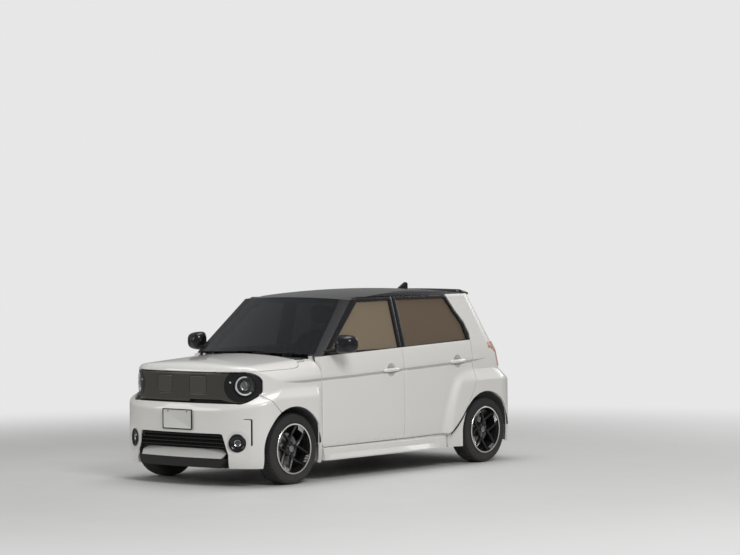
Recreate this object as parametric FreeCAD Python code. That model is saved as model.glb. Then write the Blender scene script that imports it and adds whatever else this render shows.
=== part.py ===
"""Small electric hatchback of the kei class, in millimetres.

X points to the front of the car, Y to its left and Z up. The origin is on the ground, under the middle of the car.
The body's outer form is made once as a solid. Panels are layers of it, cut along the car's real seams.
"""

import FreeCAD, Part
import math
import os

os.makedirs("parts", exist_ok=True)

V = FreeCAD.Vector

# Overall sizes of the car.
HALF_LENGTH = 1790.0
WHEELBASE = 2520.0
FRONT_AXLE_X = 1231.0
REAR_AXLE_X = FRONT_AXLE_X - WHEELBASE
DOOR_Y = 737.0
FLARE_Y = 787.0
ROOF_Z = 1549.0
SILL_Z = 165.0
BELT_Z = 1045.0

# Running gaps and wall thicknesses.
SEAM = 5.0
SEAT_GAP = 0.3
SWING_GAP = 12.0
DOOR_WALL = 85.0
FRAME_WALL = 40.0
PILLAR_WALL = 40.0
ROOF_WALL = 32.0
HOOD_WALL = 22.0
TAIL_WALL = 45.0
SKIN_WALL = 30.0
GLASS = 5.0

# Wheels and tyres.
TYRE_R = 288.0
TYRE_WIDTH = 185.0
TYRE_FACE_Y = 768.0
TYRE_FLATS = 72
TYRE_Y = TYRE_FACE_Y - TYRE_WIDTH / 2
RIM_SEAT_R = 190.0
RIM_LIP_R = 206.0
RIM_HALF = 82.0
ARCH_R = 343.0
HOUSE_Y = 405.0
HUB_Z = TYRE_R
KINGPIN_Y = 628.0
STUB_R = 24.0

# Door hinges: how far the pin lies behind the door's front edge and inside its skin.
HINGE_BACK = 40.0
HINGE_IN = 20.0
HINGE_PIN_R = 5.0
HINGE_BOSS_R = 10.0
HINGE_ARM = 5.0
HINGE_TALL = 30.0
FLANGE_DEEP = 25.0

# Windscreen: an arc in plan, swept up a straight slope.
SCREEN_X = 931.0
SCREEN_Z = 1033.0
SCREEN_RUN = (-520.0, 0.0, 447.0)
SCREEN_R = 3080.0

# Rear faces: the flat that leans forward below and above the belt.
REAR_BELT_X = -1535.0
REAR_BELT_Z = 1073.0
REAR_LOW_LEAN = 73.0 / 240.0
REAR_HIGH_LEAN = 195.0 / 408.0
SIDE_LEAN = 0.2529
REAR_CORNER_R = 200.0
REAR_CROWN = 28.0

# Hood: a crowned section that runs down to the front.
HOOD_X = 1108.0
HOOD_Z = 1027.0
HOOD_FALL_DEG = 3.55

# Roof: an arc across, turned about a far axis.
ROOF_MID_X = -560.0
ROOF_LONG_R = 7600.0
ROOF_CROSS_DROP = 38.0

# Nose of the upper body in plan, and the bumper below it.
NOSE_X = 1745.0
NOSE_R = 2760.0
NOSE_CORNER_R = 390.0
NOSE_CORNER = (1330.0, 347.0)
BUMPER_X = 1782.0
BUMPER_R = 3100.0
BUMPER_KNEE = (1749.0, 454.0)
BUMPER_MID = (1696.0, 628.0)
BUMPER_END = (1590.0, 775.0)


def place(plane, u, v, w):
    """A point from two coordinates in a plane and one along its normal."""
    if plane == "XY":
        return V(u, v, w)
    if plane == "XZ":
        return V(u, w, v)
    return V(w, u, v)


def outline(plane, steps, at):
    """A closed wire. A step of two numbers is a line's end, one of four is an arc's middle and end."""
    edges = []
    start = steps[0]
    here = start
    for step in list(steps[1:]) + [start]:
        end = step[-2:]
        a = place(plane, here[0], here[1], at)
        b = place(plane, end[0], end[1], at)
        if len(step) == 4:
            edges.append(Part.Arc(a, place(plane, step[0], step[1], at), b).toShape())
        elif a.distanceToPoint(b) > 1e-6:
            edges.append(Part.LineSegment(a, b).toShape())
        here = end
    return Part.Wire(edges)


def prism(plane, steps, low, high):
    face = Part.Face(outline(plane, steps, low))
    return face.extrude(place(plane, 0, 0, high - low))


def loft(plane, steps_a, at_a, steps_b, at_b):
    return Part.makeLoft([outline(plane, steps_a, at_a), outline(plane, steps_b, at_b)], True, True)


def mirrored_steps(start, steps, across):
    """Adds to an open path its mirror image, in the first coordinate or the second."""
    def flip(pair):
        return (-pair[0], pair[1]) if across == 0 else (pair[0], -pair[1])

    nodes = [start] + [step[-2:] for step in steps]
    back = []
    for i in range(len(steps) - 1, -1, -1):
        step = steps[i]
        if len(step) == 4:
            back.append(flip(step[:2]) + flip(nodes[i]))
        else:
            back.append(flip(nodes[i]))
    return [start] + list(steps) + [flip(nodes[-1])] + back


def box(x0, x1, y0, y1, z0, z1):
    return Part.makeBox(x1 - x0, y1 - y0, z1 - z0, V(x0, y0, z0))


def rod(a, b, r):
    a = V(*a)
    b = V(*b)
    return Part.makeCylinder(r, a.distanceToPoint(b), a, b - a)


def mirror(shape):
    return shape.mirror(V(0, 0, 0), V(0, 1, 0))


def both(shape):
    return Part.makeCompound([shape, mirror(shape)])


def grown(plane, steps, by, low, high):
    """A prism whose outline is moved outwards by a distance, or inwards when it is negative."""
    face = Part.Face(outline(plane, steps, low)).makeOffset2D(by, 0, False, False, False)
    if face.ShapeType != "Face":
        face = Part.Face(face.Wires[0])
    return face.extrude(place(plane, 0, 0, high - low))


def save(name, shape):
    solids = shape.Solids
    shape = solids[0] if len(solids) == 1 else Part.makeCompound(solids)
    shape.exportStep("parts/" + name + ".step")


# Outer form.


def side_walls(low, high):
    """The body's section across, with its sides moved in by one amount below the belt and another above."""
    y = DOOR_Y
    steps = [
        (y - 9 - low, 300.0),
        (y - low, 445.0),
        (y + 3 - low, 640.0, y - 2 - low, 850.0),
        (y - 9 - low, 950.0, y - 25 - low, BELT_Z),
        (y - 25 - high, BELT_Z),
        (606.0 - high, 1452.0),
        (588.0 - high, 1496.0, 520.0 - high, 1522.0),
        (440.0 - high, 1700.0),
    ]
    return prism("YZ", mirrored_steps((690.0 - low, SILL_Z), steps, 0), -1900.0, 1900.0)


def roof_block(inset):
    """Everything under the roof's surface, which is curved both along and across the car."""
    top = ROOF_Z - inset
    edge = (700.0, top - ROOF_CROSS_DROP)
    steps = [(-900.0, -500.0), (-900.0, 900.0), (-700.0, edge[1]), (0.0, top, edge[0], edge[1]), (900.0, 900.0), (900.0, -500.0)]
    face = Part.Face(outline("YZ", steps, ROOF_MID_X))
    axis = V(ROOF_MID_X, 0, ROOF_Z - ROOF_LONG_R)
    half_turn = 16.0
    face.rotate(axis, V(0, 1, 0), -half_turn)
    return face.revolve(axis, V(0, 1, 0), 2 * half_turn)


def leaning_drum(x, z, run, radius, below, above):
    """A drum whose side passes through a point of the middle plane and runs along a leaning line there."""
    along = V(*run)
    along.normalize()
    inward = V(along.z, 0, -along.x) if x < 0 else V(-along.z, 0, along.x)
    base = V(x, 0, z) + inward * radius - along * below
    return Part.makeCylinder(radius, below + above, base, along)


def screen_block(inset):
    """Everything behind the windscreen's surface."""
    slope = math.atan2(SCREEN_RUN[2], -SCREEN_RUN[0])
    front = SCREEN_X - inset / math.sin(slope)
    return leaning_drum(front, SCREEN_Z, SCREEN_RUN, SCREEN_R - inset, 3000.0, 4000.0)


def rear_wedge(low, high):
    """A block whose sides and back lean, with its two rear corners rounded. Levels are height, back and side."""
    wires = []
    for z, back, side in (low, high):
        wires.append(outline("XY", [(2600.0, side), (back, side), (back, -side), (2600.0, -side)], z))
    block = Part.makeLoft(wires, True, True)
    corners = []
    for edge in block.Edges:
        a, b = edge.Vertexes[0].Point, edge.Vertexes[-1].Point
        if a.x < 0 and b.x < 0 and abs(a.z - b.z) > 1:
            corners.append(edge)
    return block.makeFillet(REAR_CORNER_R, corners)


def rear_block(inset):
    """Everything ahead of the rear's surfaces, below and above the belt."""
    whole = None
    for lean_x, lean_y, side in ((REAR_LOW_LEAN, 0.0, DOOR_Y + 12.0),
                                 (REAR_HIGH_LEAN, SIDE_LEAN, DOOR_Y - 25.0 + SIDE_LEAN * (BELT_Z - REAR_BELT_Z))):
        levels = []
        for rise in (-1000.0, 700.0):
            back = REAR_BELT_X - REAR_CROWN + inset + lean_x * rise
            levels.append((REAR_BELT_Z + rise, back, side - inset - lean_y * rise))
        block = rear_wedge(levels[0], levels[1])
        lean = math.atan(lean_x)
        half = side - REAR_CORNER_R
        crown_r = half ** 2 / (2 * REAR_CROWN * math.cos(lean))
        crown = leaning_drum(REAR_BELT_X - REAR_CROWN + inset, REAR_BELT_Z, (lean_x, 0.0, 1.0), crown_r, 1500.0, 1500.0)
        block = block.common(crown)
        whole = block if whole is None else whole.common(block)
    return whole


def cabin(low, high, roof, front, back):
    """The body behind the hood, with each group of surfaces moved in by its own amount."""
    shape = side_walls(low, high).common(roof_block(roof))
    shape = shape.common(screen_block(front))
    shape = shape.common(rear_block(back))
    return shape.common(box(-1900.0, SCREEN_X - 20.0, -900.0, 900.0, 0.0, 1700.0))


def nose_plan(inset):
    """Plan of the upper nose, from the sides round to the front."""
    r = NOSE_CORNER_R - inset
    cx, cy = NOSE_CORNER
    front = NOSE_X - inset
    end = math.radians(6.9)
    mid = math.radians(48.5)
    knee = (cx + r * math.cos(end), cy + r * math.sin(end))
    steps = [
        (cx, cy + r),
        (cx + r * math.cos(mid), cy + r * math.sin(mid), knee[0], knee[1]),
    ]
    half = mirrored_steps((cx - 480.0, cy + r), steps, 1)
    i = half.index((knee[0], -knee[1]))
    half[i] = (front, 0.0, knee[0], -knee[1])
    return half


def hood_block(inset):
    """Everything under the hood's crown, which slopes down to the front."""
    top = HOOD_Z - inset
    side = DOOR_Y + 4.0 - inset
    arc = [(side, -900.0), (side, top - 185.0), (690.0 - inset * 0.6, top - 93.0, 560.0, top - 32.0)]
    path = [(-side, -900.0)] + arc + [(0.0, top, -560.0, top - 32.0), (-690.0 + inset * 0.6, top - 93.0, -side, top - 185.0)]
    reach = 800.0
    block = prism("YZ", path, HOOD_X - reach, HOOD_X + reach)
    block.rotate(V(HOOD_X, 0, HOOD_Z), V(0, 1, 0), HOOD_FALL_DEG)
    return block


def nose(inset):
    """The body ahead of the windscreen and above the bumper."""
    lip = 925.0
    walls = prism("XY", nose_plan(inset), 500.0, lip - inset)
    for low, high, a, b in ((lip, lip + 32.0, 0.0, 16.0), (lip + 32.0, lip + 62.0, 16.0, 52.0),
                            (lip + 62.0, lip + 100.0, 52.0, 150.0)):
        walls = walls.fuse(loft("XY", nose_plan(inset + a), low - inset, nose_plan(inset + b), high - inset))
    return walls.common(hood_block(inset))


def front_low_plan(inset):
    """Plan of the bumper and front flares."""
    kx, ky = BUMPER_KNEE
    steps = [
        (930.0, FLARE_Y - inset),
        (1545.0, FLARE_Y - inset),
        (BUMPER_END[0] - inset * 0.7, BUMPER_END[1] - inset),
        (BUMPER_MID[0] - inset * 0.9, BUMPER_MID[1] - inset * 0.5, kx - inset, ky),
    ]
    path = mirrored_steps((860.0, DOOR_Y - inset - 2.0), steps, 1)
    i = path.index((kx - inset, -ky))
    path[i] = (BUMPER_X - inset, 0.0, kx - inset, -ky)
    return path


def front_high_plan(inset):
    """Plan of the upper nose with as many steps as the bumper's, for the shoulder between them."""
    r = NOSE_CORNER_R - inset
    cx, cy = NOSE_CORNER
    end = math.radians(6.9)
    first = math.radians(84.0)
    mid = math.radians(45.0)
    knee = (cx + r * math.cos(end), cy + r * math.sin(end))
    turn = (cx + r * math.cos(first), cy + r * math.sin(first))
    steps = [
        (930.0, DOOR_Y - inset - 1.0),
        (cx, cy + r),
        turn,
        (cx + r * math.cos(mid), cy + r * math.sin(mid), knee[0], knee[1]),
    ]
    path = mirrored_steps((860.0, DOOR_Y - inset - 2.0), steps, 1)
    i = path.index((knee[0], -knee[1]))
    path[i] = (NOSE_X - inset, 0.0, knee[0], -knee[1])
    return path


SHOULDER_Z = 705.0
SHOULDER_TOP = 782.0
BUMPER_BOTTOM = 150.0


def front_low(inset):
    """The bumper and front flares, with a shoulder that sinks from the fenders to the nose."""
    low = SHOULDER_Z - inset
    high = SHOULDER_TOP - inset
    plan = front_low_plan(inset)
    flat = prism("XY", plan, -600.0, low).fuse(loft("XY", plan, low, front_high_plan(inset), high))
    fall = 0.29
    sunk = FreeCAD.Matrix()
    sunk.A31 = -fall
    sunk.A34 = fall * 1455.0
    tilted = flat.transformGeometry(sunk)
    return flat.common(tilted).common(box(0.0, 1900.0, -900.0, 900.0, BUMPER_BOTTOM + 0.0 * inset, 900.0))


REAR_SHOULDER_Z = 732.0
REAR_SHOULDER_TOP = 829.0


def rear_low_plan(back, side, corner, inset):
    """Plan of the rear bumper and flares."""
    r = corner - inset
    b = back + inset
    s = side - inset
    c = math.cos(math.radians(45)) * r
    steps = [
        (-960.0, s),
        (b + r, s),
        (b + r - c, s - r + c, b, s - r),
    ]
    return mirrored_steps((-800.0, DOOR_Y - inset - 2.0), steps, 1)


def rear_low(inset):
    plan = rear_low_plan(-HALF_LENGTH, FLARE_Y, 300.0, inset)
    low = REAR_SHOULDER_Z - inset
    upper = rear_low_plan(-1640.0, DOOR_Y + 1.0, 210.0, inset)
    return prism("XY", plan, SILL_Z, low).fuse(loft("XY", plan, low, upper, REAR_SHOULDER_TOP - inset))


# Seams of the doors and lids, in side view.

B_X = -212.0
FRONT_DOOR_X = 848.0
FENDER_BACK_X = FRONT_DOOR_X + SEAM + 1.0
FRONT_DOOR = [
    (FRONT_DOOR_X, 1012.0),
    (FRONT_DOOR_X - 3.0, 330.0),
    (836.0, 288.0, 795.0, 272.0),
    (B_X + SEAM / 2, 279.0),
    (B_X + SEAM / 2, 1486.0),
    (262.0, 1484.0),
    (806.0, 1016.0),
]
REAR_DOOR = [
    (B_X - SEAM / 2, 279.0),
    (B_X - SEAM / 2, 1486.0),
    (-940.0, 1488.0),
    (-1035.0, 1343.0),
    (-1123.0, 1242.0),
    (-1164.0, 1150.0),
    (-1160.0, 1000.0, -1147.0, 740.0),
    (-992.0, 480.0, -771.0, 286.0),
]
FRONT_WINDOW = [(-165.0, 1052.0), (-165.0, 1455.0), (252.0, 1450.0), (700.0, 1070.0), (690.0, 1046.0)]
REAR_WINDOW = [(-262.0, 1056.0), (-262.0, 1458.0), (-922.0, 1458.0), (-1010.0, 1325.0), (-1090.0, 1225.0), (-1120.0, 1092.0)]
DOOR_INNER = 45.0
HINGE_Y = DOOR_Y - HINGE_IN
FRONT_HINGE_X = FRONT_DOOR_X - HINGE_BACK
REAR_HINGE_X = B_X - SEAM / 2 - HINGE_BACK
HINGE_HEIGHTS = (420.0, 870.0)
EDGE_SWING_R = math.hypot(HINGE_BACK, HINGE_IN + 3.0) + SEAM

BODY = cabin(0, 0, 0, 0, 0)
BODY_NOSE = nose(0)
FRONT_LOW = front_low(0)
FRONT_LOW_IN = front_low(SKIN_WALL)
REAR_LOW = rear_low(0)
REAR_LOW_IN = rear_low(SKIN_WALL)


def wheel_hole(x, r, y0, y1):
    return Part.makeCylinder(r, y1 - y0, V(x, y0, HUB_Z), V(0, 1, 0))


def arches(x):
    """The open wheel houses of an axle, out through the body's side."""
    left = wheel_hole(x, ARCH_R, HOUSE_Y, 900.0).fuse(
        box(x - ARCH_R, x + ARCH_R, HOUSE_Y, 900.0, 0.0, HUB_Z))
    return left.fuse(mirror(left))


FRONT_ARCH = arches(FRONT_AXLE_X)
REAR_ARCH = arches(REAR_AXLE_X)

# Depths to which doors and pillars reach.
DOOR_INSIDE = side_walls(DOOR_WALL, FRAME_WALL)
DOOR_POCKET = side_walls(DOOR_WALL + SWING_GAP, FRAME_WALL + SWING_GAP)
PILLAR_INSIDE = cabin(DOOR_WALL + SWING_GAP + PILLAR_WALL, FRAME_WALL + SWING_GAP + PILLAR_WALL, 90.0, 60.0, 80.0)
CABIN_SIDES = side_walls(DOOR_WALL + SWING_GAP + PILLAR_WALL + SEAT_GAP, FRAME_WALL + SWING_GAP + PILLAR_WALL + SEAT_GAP)
DOOR_CORE = side_walls(FLANGE_DEEP, FLANGE_DEEP)
ROOF_INSIDE = cabin(0, 20.0, ROOF_WALL, 0, 0)
GLASS_OUT = side_walls(14.0, 14.0)
GLASS_IN = side_walls(14.0 + GLASS, 14.0 + GLASS)


def post(x, y, r, z0, z1):
    return Part.makeCylinder(r, z1 - z0, V(x, y, z0))


def hinge_pocket(x, z):
    """The room that a hinge takes out of the door's front edge, all through the door's swing."""
    half = HINGE_TALL / 2 + 3.0
    room = box(x - HINGE_BOSS_R - 4.0, x + HINGE_BACK + 10.0, HINGE_Y - 90.0, HINGE_Y + 7.0, z - half, z + half)
    return room.fuse(post(x, HINGE_Y, HINGE_BOSS_R + 3.5, z - half, z + half))


def hinge_pin(x, z):
    half = HINGE_TALL / 2 + 5.0
    return post(x, HINGE_Y, HINGE_PIN_R, z - half, z + half)


def hinge_bracket(x, z):
    """The arm on the pillar, whose eye holds the door's pin."""
    half = HINGE_TALL / 2
    root = DOOR_Y - DOOR_WALL - SWING_GAP - 20.0
    arm = box(x - HINGE_ARM, x + HINGE_ARM, root, HINGE_Y, z - half, z + half)
    eye = post(x, HINGE_Y, HINGE_BOSS_R, z - half, z + half)
    return arm.fuse(eye).cut(post(x, HINGE_Y, HINGE_PIN_R + SEAT_GAP, z - 50.0, z + 50.0))


def door(seam, window, bulge, hinge_x):
    """A whole door: skin, inner wall and frame, with its window cut and its inner box set back from the edge."""
    left = prism("XZ", seam, 480.0, 900.0)
    skin = left.common(BODY)
    if bulge:
        skin = skin.fuse(left.common(REAR_LOW))
    leaf = skin.cut(DOOR_INSIDE).cut(prism("XZ", window, 300.0, 900.0))
    edge = left.cut(grown("XZ", seam, -SEAM, 480.0, 900.0)).common(DOOR_CORE)
    corner = box(hinge_x, hinge_x + 100.0, 560.0, HINGE_Y, 200.0, 1045.0)
    corner = corner.cut(post(hinge_x, HINGE_Y, DOOR_Y - HINGE_Y + 49.0, 190.0, 1050.0))
    leaf = leaf.cut(edge).cut(corner)
    for z in HINGE_HEIGHTS:
        leaf = leaf.cut(hinge_pocket(hinge_x, z)).fuse(hinge_pin(hinge_x, z))
    return leaf


def pane(window):
    ring = GLASS_OUT.cut(GLASS_IN)
    return grown("XZ", window, -SEAT_GAP, 300.0, 900.0).common(ring)


def build_doors():
    for name, seam, window, bulge, hinge_x in (("front_door", FRONT_DOOR, FRONT_WINDOW, False, FRONT_HINGE_X),
                                               ("rear_door", REAR_DOOR, REAR_WINDOW, True, REAR_HINGE_X)):
        leaf = door(seam, window, bulge, hinge_x)
        if bulge:
            leaf = leaf.cut(REAR_ARCH)
        else:
            leaf = leaf.cut(post(REAR_HINGE_X, HINGE_Y, EDGE_SWING_R, 200.0, BELT_Z))
        glass = pane(window)
        for side, turn in (("left", lambda s: s), ("right", mirror)):
            save(name + "_" + side, turn(leaf))
            save(name + "_glass_" + side, turn(glass))


def build_mirrors():
    """Door mirrors: a foot on the door's front corner and a housing on a short neck."""
    foot = prism("XZ", [(792.0, 1030.0), (640.0, 1038.0), (660.0, 1085.0), (748.0, 1066.0)], 690.0, 745.0)
    neck = rod((716.0, 735.0, 1055.0), (700.0, 800.0, 1062.0), 18.0)
    housing = prism("YZ", [(768.0, 1062.0), (760.0, 1150.0), (775.0, 1183.0, 810.0, 1190.0), (905.0, 1188.0),
                           (938.0, 1178.0, 944.0, 1140.0), (934.0, 1062.0), (920.0, 1040.0, 890.0, 1036.0),
                           (795.0, 1036.0)], 640.0, 745.0)
    cut_front = prism("XY", [(745.0, 740.0), (752.0, 860.0, 700.0, 960.0), (760.0, 960.0), (760.0, 740.0)], 1000.0, 1200.0)
    housing = housing.cut(cut_front)
    whole = foot.cut(BODY).fuse(neck.cut(BODY)).fuse(housing)
    for name, turn in (("left", lambda s: s), ("right", mirror)):
        save("door_mirror_" + name, turn(whole))


HOOD_LINE = [(962.0, 1100.0), (1000.0, 1030.0), (1030.0, 982.0), (1104.0, 934.0), (1800.0, 918.0), (1800.0, 1100.0)]
GRILLE_FACE = [
    (0.0, 668.0),
    (560.0, 668.0),
    (650.0, 690.0, 690.0, 762.0),
    (690.0, 850.0),
    (686.0, 905.0, 640.0, 913.0),
    (0.0, 913.0),
]
LAMP_Y = 563.0
LAMP_Z = 805.0
LAMP_R = 88.0
LAMP_X = 1650.0
LAMP_TURN = 24.0
LID_Y0 = 98.0
LID_Y1 = 278.0
LID_Z0 = 742.0
LID_Z1 = 887.0
LID_THICK = 8.0
LID_PIN_R = 2.0

# Hood hinge: pin on the pillar, arm under the hood.
HOOD_PIN_X = 930.0
HOOD_PIN_Z = 985.0
HOOD_PIN_R = 6.0
HOOD_ARM_Y = 612.0


# Blank number plate.
PLATE_X = HALF_LENGTH - 6.0
PLATE_HALF = 165.0
PLATE_Z0 = 450.0
PLATE_Z1 = 615.0
PLATE_BOLTS = 210.0
PLATE_HOLE_R = 4.0


def full_face(steps, low, high):
    """A prism along the car from the left half of an outline seen from the front."""
    left = prism("YZ", steps, low, high)
    return left.fuse(mirror(left)).removeSplitter()


def lamp_rod(x, y, z, turn, r, behind, ahead):
    a = math.radians(turn)
    d = (math.cos(a), math.sin(a), 0.0)
    return rod((x - behind * d[0], y - behind * d[1], z), (x + ahead * d[0], y + ahead * d[1], z), r)


def lid_point(y):
    """A point of the charge lid's pin, just inside the nose's face at the lid's top edge."""
    return (NOSE_X - y * y / (2 * NOSE_R) - LID_PIN_R, y, LID_Z1 - LID_PIN_R)


def build_nose():
    inner = nose(SKIN_WALL)
    hood_cut = prism("XZ", HOOD_LINE, -900.0, 900.0)
    hood = BODY_NOSE.cut(nose(HOOD_WALL)).common(hood_cut)
    arm = prism("XZ", [(HOOD_PIN_X - 12.0, HOOD_PIN_Z - 12.0), (HOOD_PIN_X + 12.0, HOOD_PIN_Z - 12.0), (1060.0, 985.0),
                       (1075.0, 1012.0), (1020.0, 1012.0), (990.0, 994.0), (HOOD_PIN_X - 12.0, HOOD_PIN_Z + 12.0)],
                HOOD_ARM_Y - 5.0, HOOD_ARM_Y + 5.0)
    arm = arm.cut(rod((HOOD_PIN_X, 500.0, HOOD_PIN_Z), (HOOD_PIN_X, 700.0, HOOD_PIN_Z), HOOD_PIN_R + SEAT_GAP))
    arm = arm.common(BODY_NOSE.fuse(box(800.0, 990.0, 500.0, 700.0, 900.0, 1020.0)))
    hood = hood.fuse([arm, mirror(arm)])
    save("hood", hood)

    grille_cut = full_face(GRILLE_FACE, 1440.0, 1900.0)
    layer = BODY_NOSE.cut(inner)
    grille = layer.common(grille_cut)
    lid_hole = box(1600.0, 1900.0, LID_Y0 - SEAM, LID_Y1 + SEAM, LID_Z0 - SEAM, LID_Z1 + SEAM + 1.0)
    lid = box(1600.0, 1900.0, LID_Y0, LID_Y1, LID_Z0, LID_Z1)
    lid_skin = BODY_NOSE.cut(nose(LID_THICK)).common(lid)
    a = lid_point(LID_Y0 - SEAM + SEAT_GAP)
    b = lid_point(LID_Y1 + SEAM - SEAT_GAP)
    lid_skin = lid_skin.fuse(rod(a, b, LID_PIN_R))
    pocket = lid_hole.cut(nose(20.0))
    lamp_hole = lamp_rod(LAMP_X, LAMP_Y, LAMP_Z, LAMP_TURN, LAMP_R + SEAT_GAP, 80.0, 200.0)
    for cutter in (pocket, lamp_hole):
        grille = grille.cut(cutter).cut(mirror(cutter))
    save("grille_panel", grille)
    save("charge_lid_left", lid_skin)
    save("charge_lid_right", mirror(lid_skin))
    lamp = lamp_rod(LAMP_X, LAMP_Y, LAMP_Z, LAMP_TURN, LAMP_R, 70.0, 12.0)
    save("headlamps", both(lamp))

    fender_zone = prism("XZ", [(FENDER_BACK_X, 150.0), (1395.0, 150.0), (1395.0, 592.0), (1509.0, 697.0),
                               (1540.0, 740.0), (1700.0, 740.0), (1700.0, 1100.0), (FENDER_BACK_X, 1100.0)], 300.0, 900.0)
    front_all = BODY_NOSE.fuse(FRONT_LOW)
    front_in = inner.fuse(FRONT_LOW_IN)
    shell = front_all.cut(front_in)
    hood_room = prism("XZ", [(957.0, 1100.0), (995.0, 1028.0), (1026.0, 978.0), (1103.0, 929.0), (1800.0, 913.0),
                             (1800.0, 1100.0)], -900.0, 900.0)
    behind = box(600.0, FENDER_BACK_X, -900.0, 900.0, 0.0, 1200.0)
    behind = behind.fuse(post(FRONT_HINGE_X, HINGE_Y, EDGE_SWING_R, 150.0, 1100.0))
    outer_zone = prism("XY", [(FENDER_BACK_X, 640.0), (1260.0, 640.0), (1400.0, 540.0), (1750.0, 300.0), (1750.0, 900.0),
                              (FENDER_BACK_X, 900.0)], 100.0, 1200.0)
    fender = shell.common(fender_zone).common(outer_zone).cut(hood_room).cut(grille_cut).cut(FRONT_ARCH)
    fender = fender.cut(screen_block(0).common(box(0, 1000, -900, 900, 1000, 1300))).cut(behind)
    save("front_fenders", both(fender))

    intake = full_face([(0.0, 424.0), (440.0, 424.0), (458.0, 418.0), (511.0, 262.0), (440.0, 120.0), (0.0, 120.0)],
                       1400.0, 1900.0)
    fog_hole = lamp_rod(1700.0, 591.0, 355.0, 30.0, 72.0 + SEAT_GAP, 90.0, 200.0)
    bumper = shell.cut(fender_zone).cut(mirror(fender_zone)).cut(hood_room).cut(grille_cut)
    bumper = bumper.cut(FRONT_ARCH).cut(intake).cut(fog_hole).cut(mirror(fog_hole))
    bumper = bumper.common(box(1300.0, 1900.0, -900.0, 900.0, 100.0, 800.0))
    plinth = box(1765.0, PLATE_X - SEAT_GAP, -PLATE_HALF + 12.0, PLATE_HALF - 12.0, PLATE_Z0 + 12.0, PLATE_Z1 - 12.0)
    beam = box(1640.0, 1690.0, -430.0, 430.0, 440.0, 540.0)
    pads = box(1689.0, 1765.0, 300.0, 340.0, 450.0, 530.0)
    bumper = bumper.fuse([plinth, beam, pads, mirror(pads)])
    save("front_bumper", bumper)
    fog = lamp_rod(1700.0, 591.0, 355.0, 30.0, 72.0, 80.0, 2.0)
    save("fog_lamps", both(fog))

    hollow = intake.common(FRONT_LOW)
    backing = hollow.common(box(1670.0, 1698.0, -900.0, 900.0, 150.0, 424.0 - SEAT_GAP))
    slats = [box(1690.0, 1730.0, -470.0, 470.0, z, z + 9.0) for z in (315.0, 345.0, 375.0, 403.0)]
    lip = full_face([(0.0, 228.0 - SEAT_GAP), (480.0, 228.0 - SEAT_GAP), (497.0, 224.0), (435.0, 152.0), (0.0, 152.0)],
                    1400.0, 1900.0).common(FRONT_LOW).cut(box(1000.0, 1690.0, -900.0, 900.0, 0.0, 400.0))
    insert = backing.fuse(slats + [lip])
    insert = insert.common(intake)
    save("lower_grille", insert)
    bar = full_face([(0.0, 228.0), (454.0, 228.0), (370.0, 295.0), (0.0, 295.0)], 1400.0, 1900.0)
    bar = bar.common(FRONT_LOW).cut(box(0, 1730.0 + SEAT_GAP, -900.0, 900.0, 0.0, 900.0))
    save("lower_bar", bar)

    plate = box(PLATE_X, HALF_LENGTH, -PLATE_HALF, PLATE_HALF, PLATE_Z0, PLATE_Z1)
    for y in (-PLATE_BOLTS / 2, PLATE_BOLTS / 2):
        plate = plate.cut(rod((PLATE_X - 1, y, PLATE_Z1 - 20.0), (HALF_LENGTH + 1, y, PLATE_Z1 - 20.0), PLATE_HOLE_R))
    save("number_plate", plate)


def build_body_sides():
    room_front = grown("XZ", FRONT_DOOR, SEAM, 300.0, 900.0)
    room_rear = grown("XZ", REAR_DOOR, SEAM, 300.0, 900.0)
    opening_front = grown("XZ", FRONT_DOOR, -DOOR_INNER, 300.0, 900.0)
    opening_rear = grown("XZ", REAR_DOOR, -DOOR_INNER, 300.0, 900.0)
    outer = BODY.cut(PILLAR_INSIDE)
    front = FENDER_BACK_X - SEAT_GAP
    ahead = prism("YZ", [(592.0, 0.0), (592.0, 1000.0), (480.0, 1400.0), (480.0, RAIL_Z), (900.0, RAIL_Z), (900.0, 0.0)],
                  ROOF_BACK_X, front)
    behind = prism("YZ", [(545.0, 0.0), (545.0, 1073.0), (460.0, 1440.0), (460.0, 1700.0), (900.0, 1700.0), (900.0, 0.0)],
                   -1900.0, ROOF_BACK_X + 1.0)
    outer = outer.common(ahead.fuse(behind))
    edge_room = box(FRONT_DOOR_X - 15.0, 900.0, 500.0, 900.0, 272.0 - SEAM, 1010.0)
    pockets = room_front.fuse([room_rear, edge_room]).cut(DOOR_POCKET)
    left = outer.cut(pockets).cut(opening_front).cut(opening_rear)
    quarter = REAR_LOW.cut(REAR_LOW_IN).common(box(-1500.0, -700.0, 300.0, 900.0, SILL_Z, 900.0))
    quarter = quarter.cut(room_rear)
    left = left.fuse(quarter).cut(REAR_ARCH)
    for x in (FRONT_HINGE_X, REAR_HINGE_X):
        left = left.fuse([hinge_bracket(x, z) for z in HINGE_HEIGHTS])
    ear = prism("XZ", [(835.0, 900.0), (865.0, 900.0), (HOOD_PIN_X + 14.0, HOOD_PIN_Z - 12.0),
                       (HOOD_PIN_X + 14.0, HOOD_PIN_Z + 12.0), (835.0, 995.0)], HOOD_ARM_Y + 5.0 + SEAT_GAP, HOOD_ARM_Y + 18.0)
    pin = rod((HOOD_PIN_X, HOOD_ARM_Y - 5.0, HOOD_PIN_Z), (HOOD_PIN_X, HOOD_ARM_Y + 8.0, HOOD_PIN_Z), HOOD_PIN_R)
    left = left.fuse([ear, pin])
    keep = box(-1500.0, 1000.0, 300.0, 900.0, 0.0, 1600.0)
    keep = keep.fuse(box(-1800.0, -1499.0, 300.0, 900.0, 745.0, 1600.0))
    left = left.common(keep).cut(TAILGATE_ROOM).cut(SCREEN_ROOM)
    left = left.cut(TAIL_LAMP)
    save("side_frames", both(left))


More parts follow.
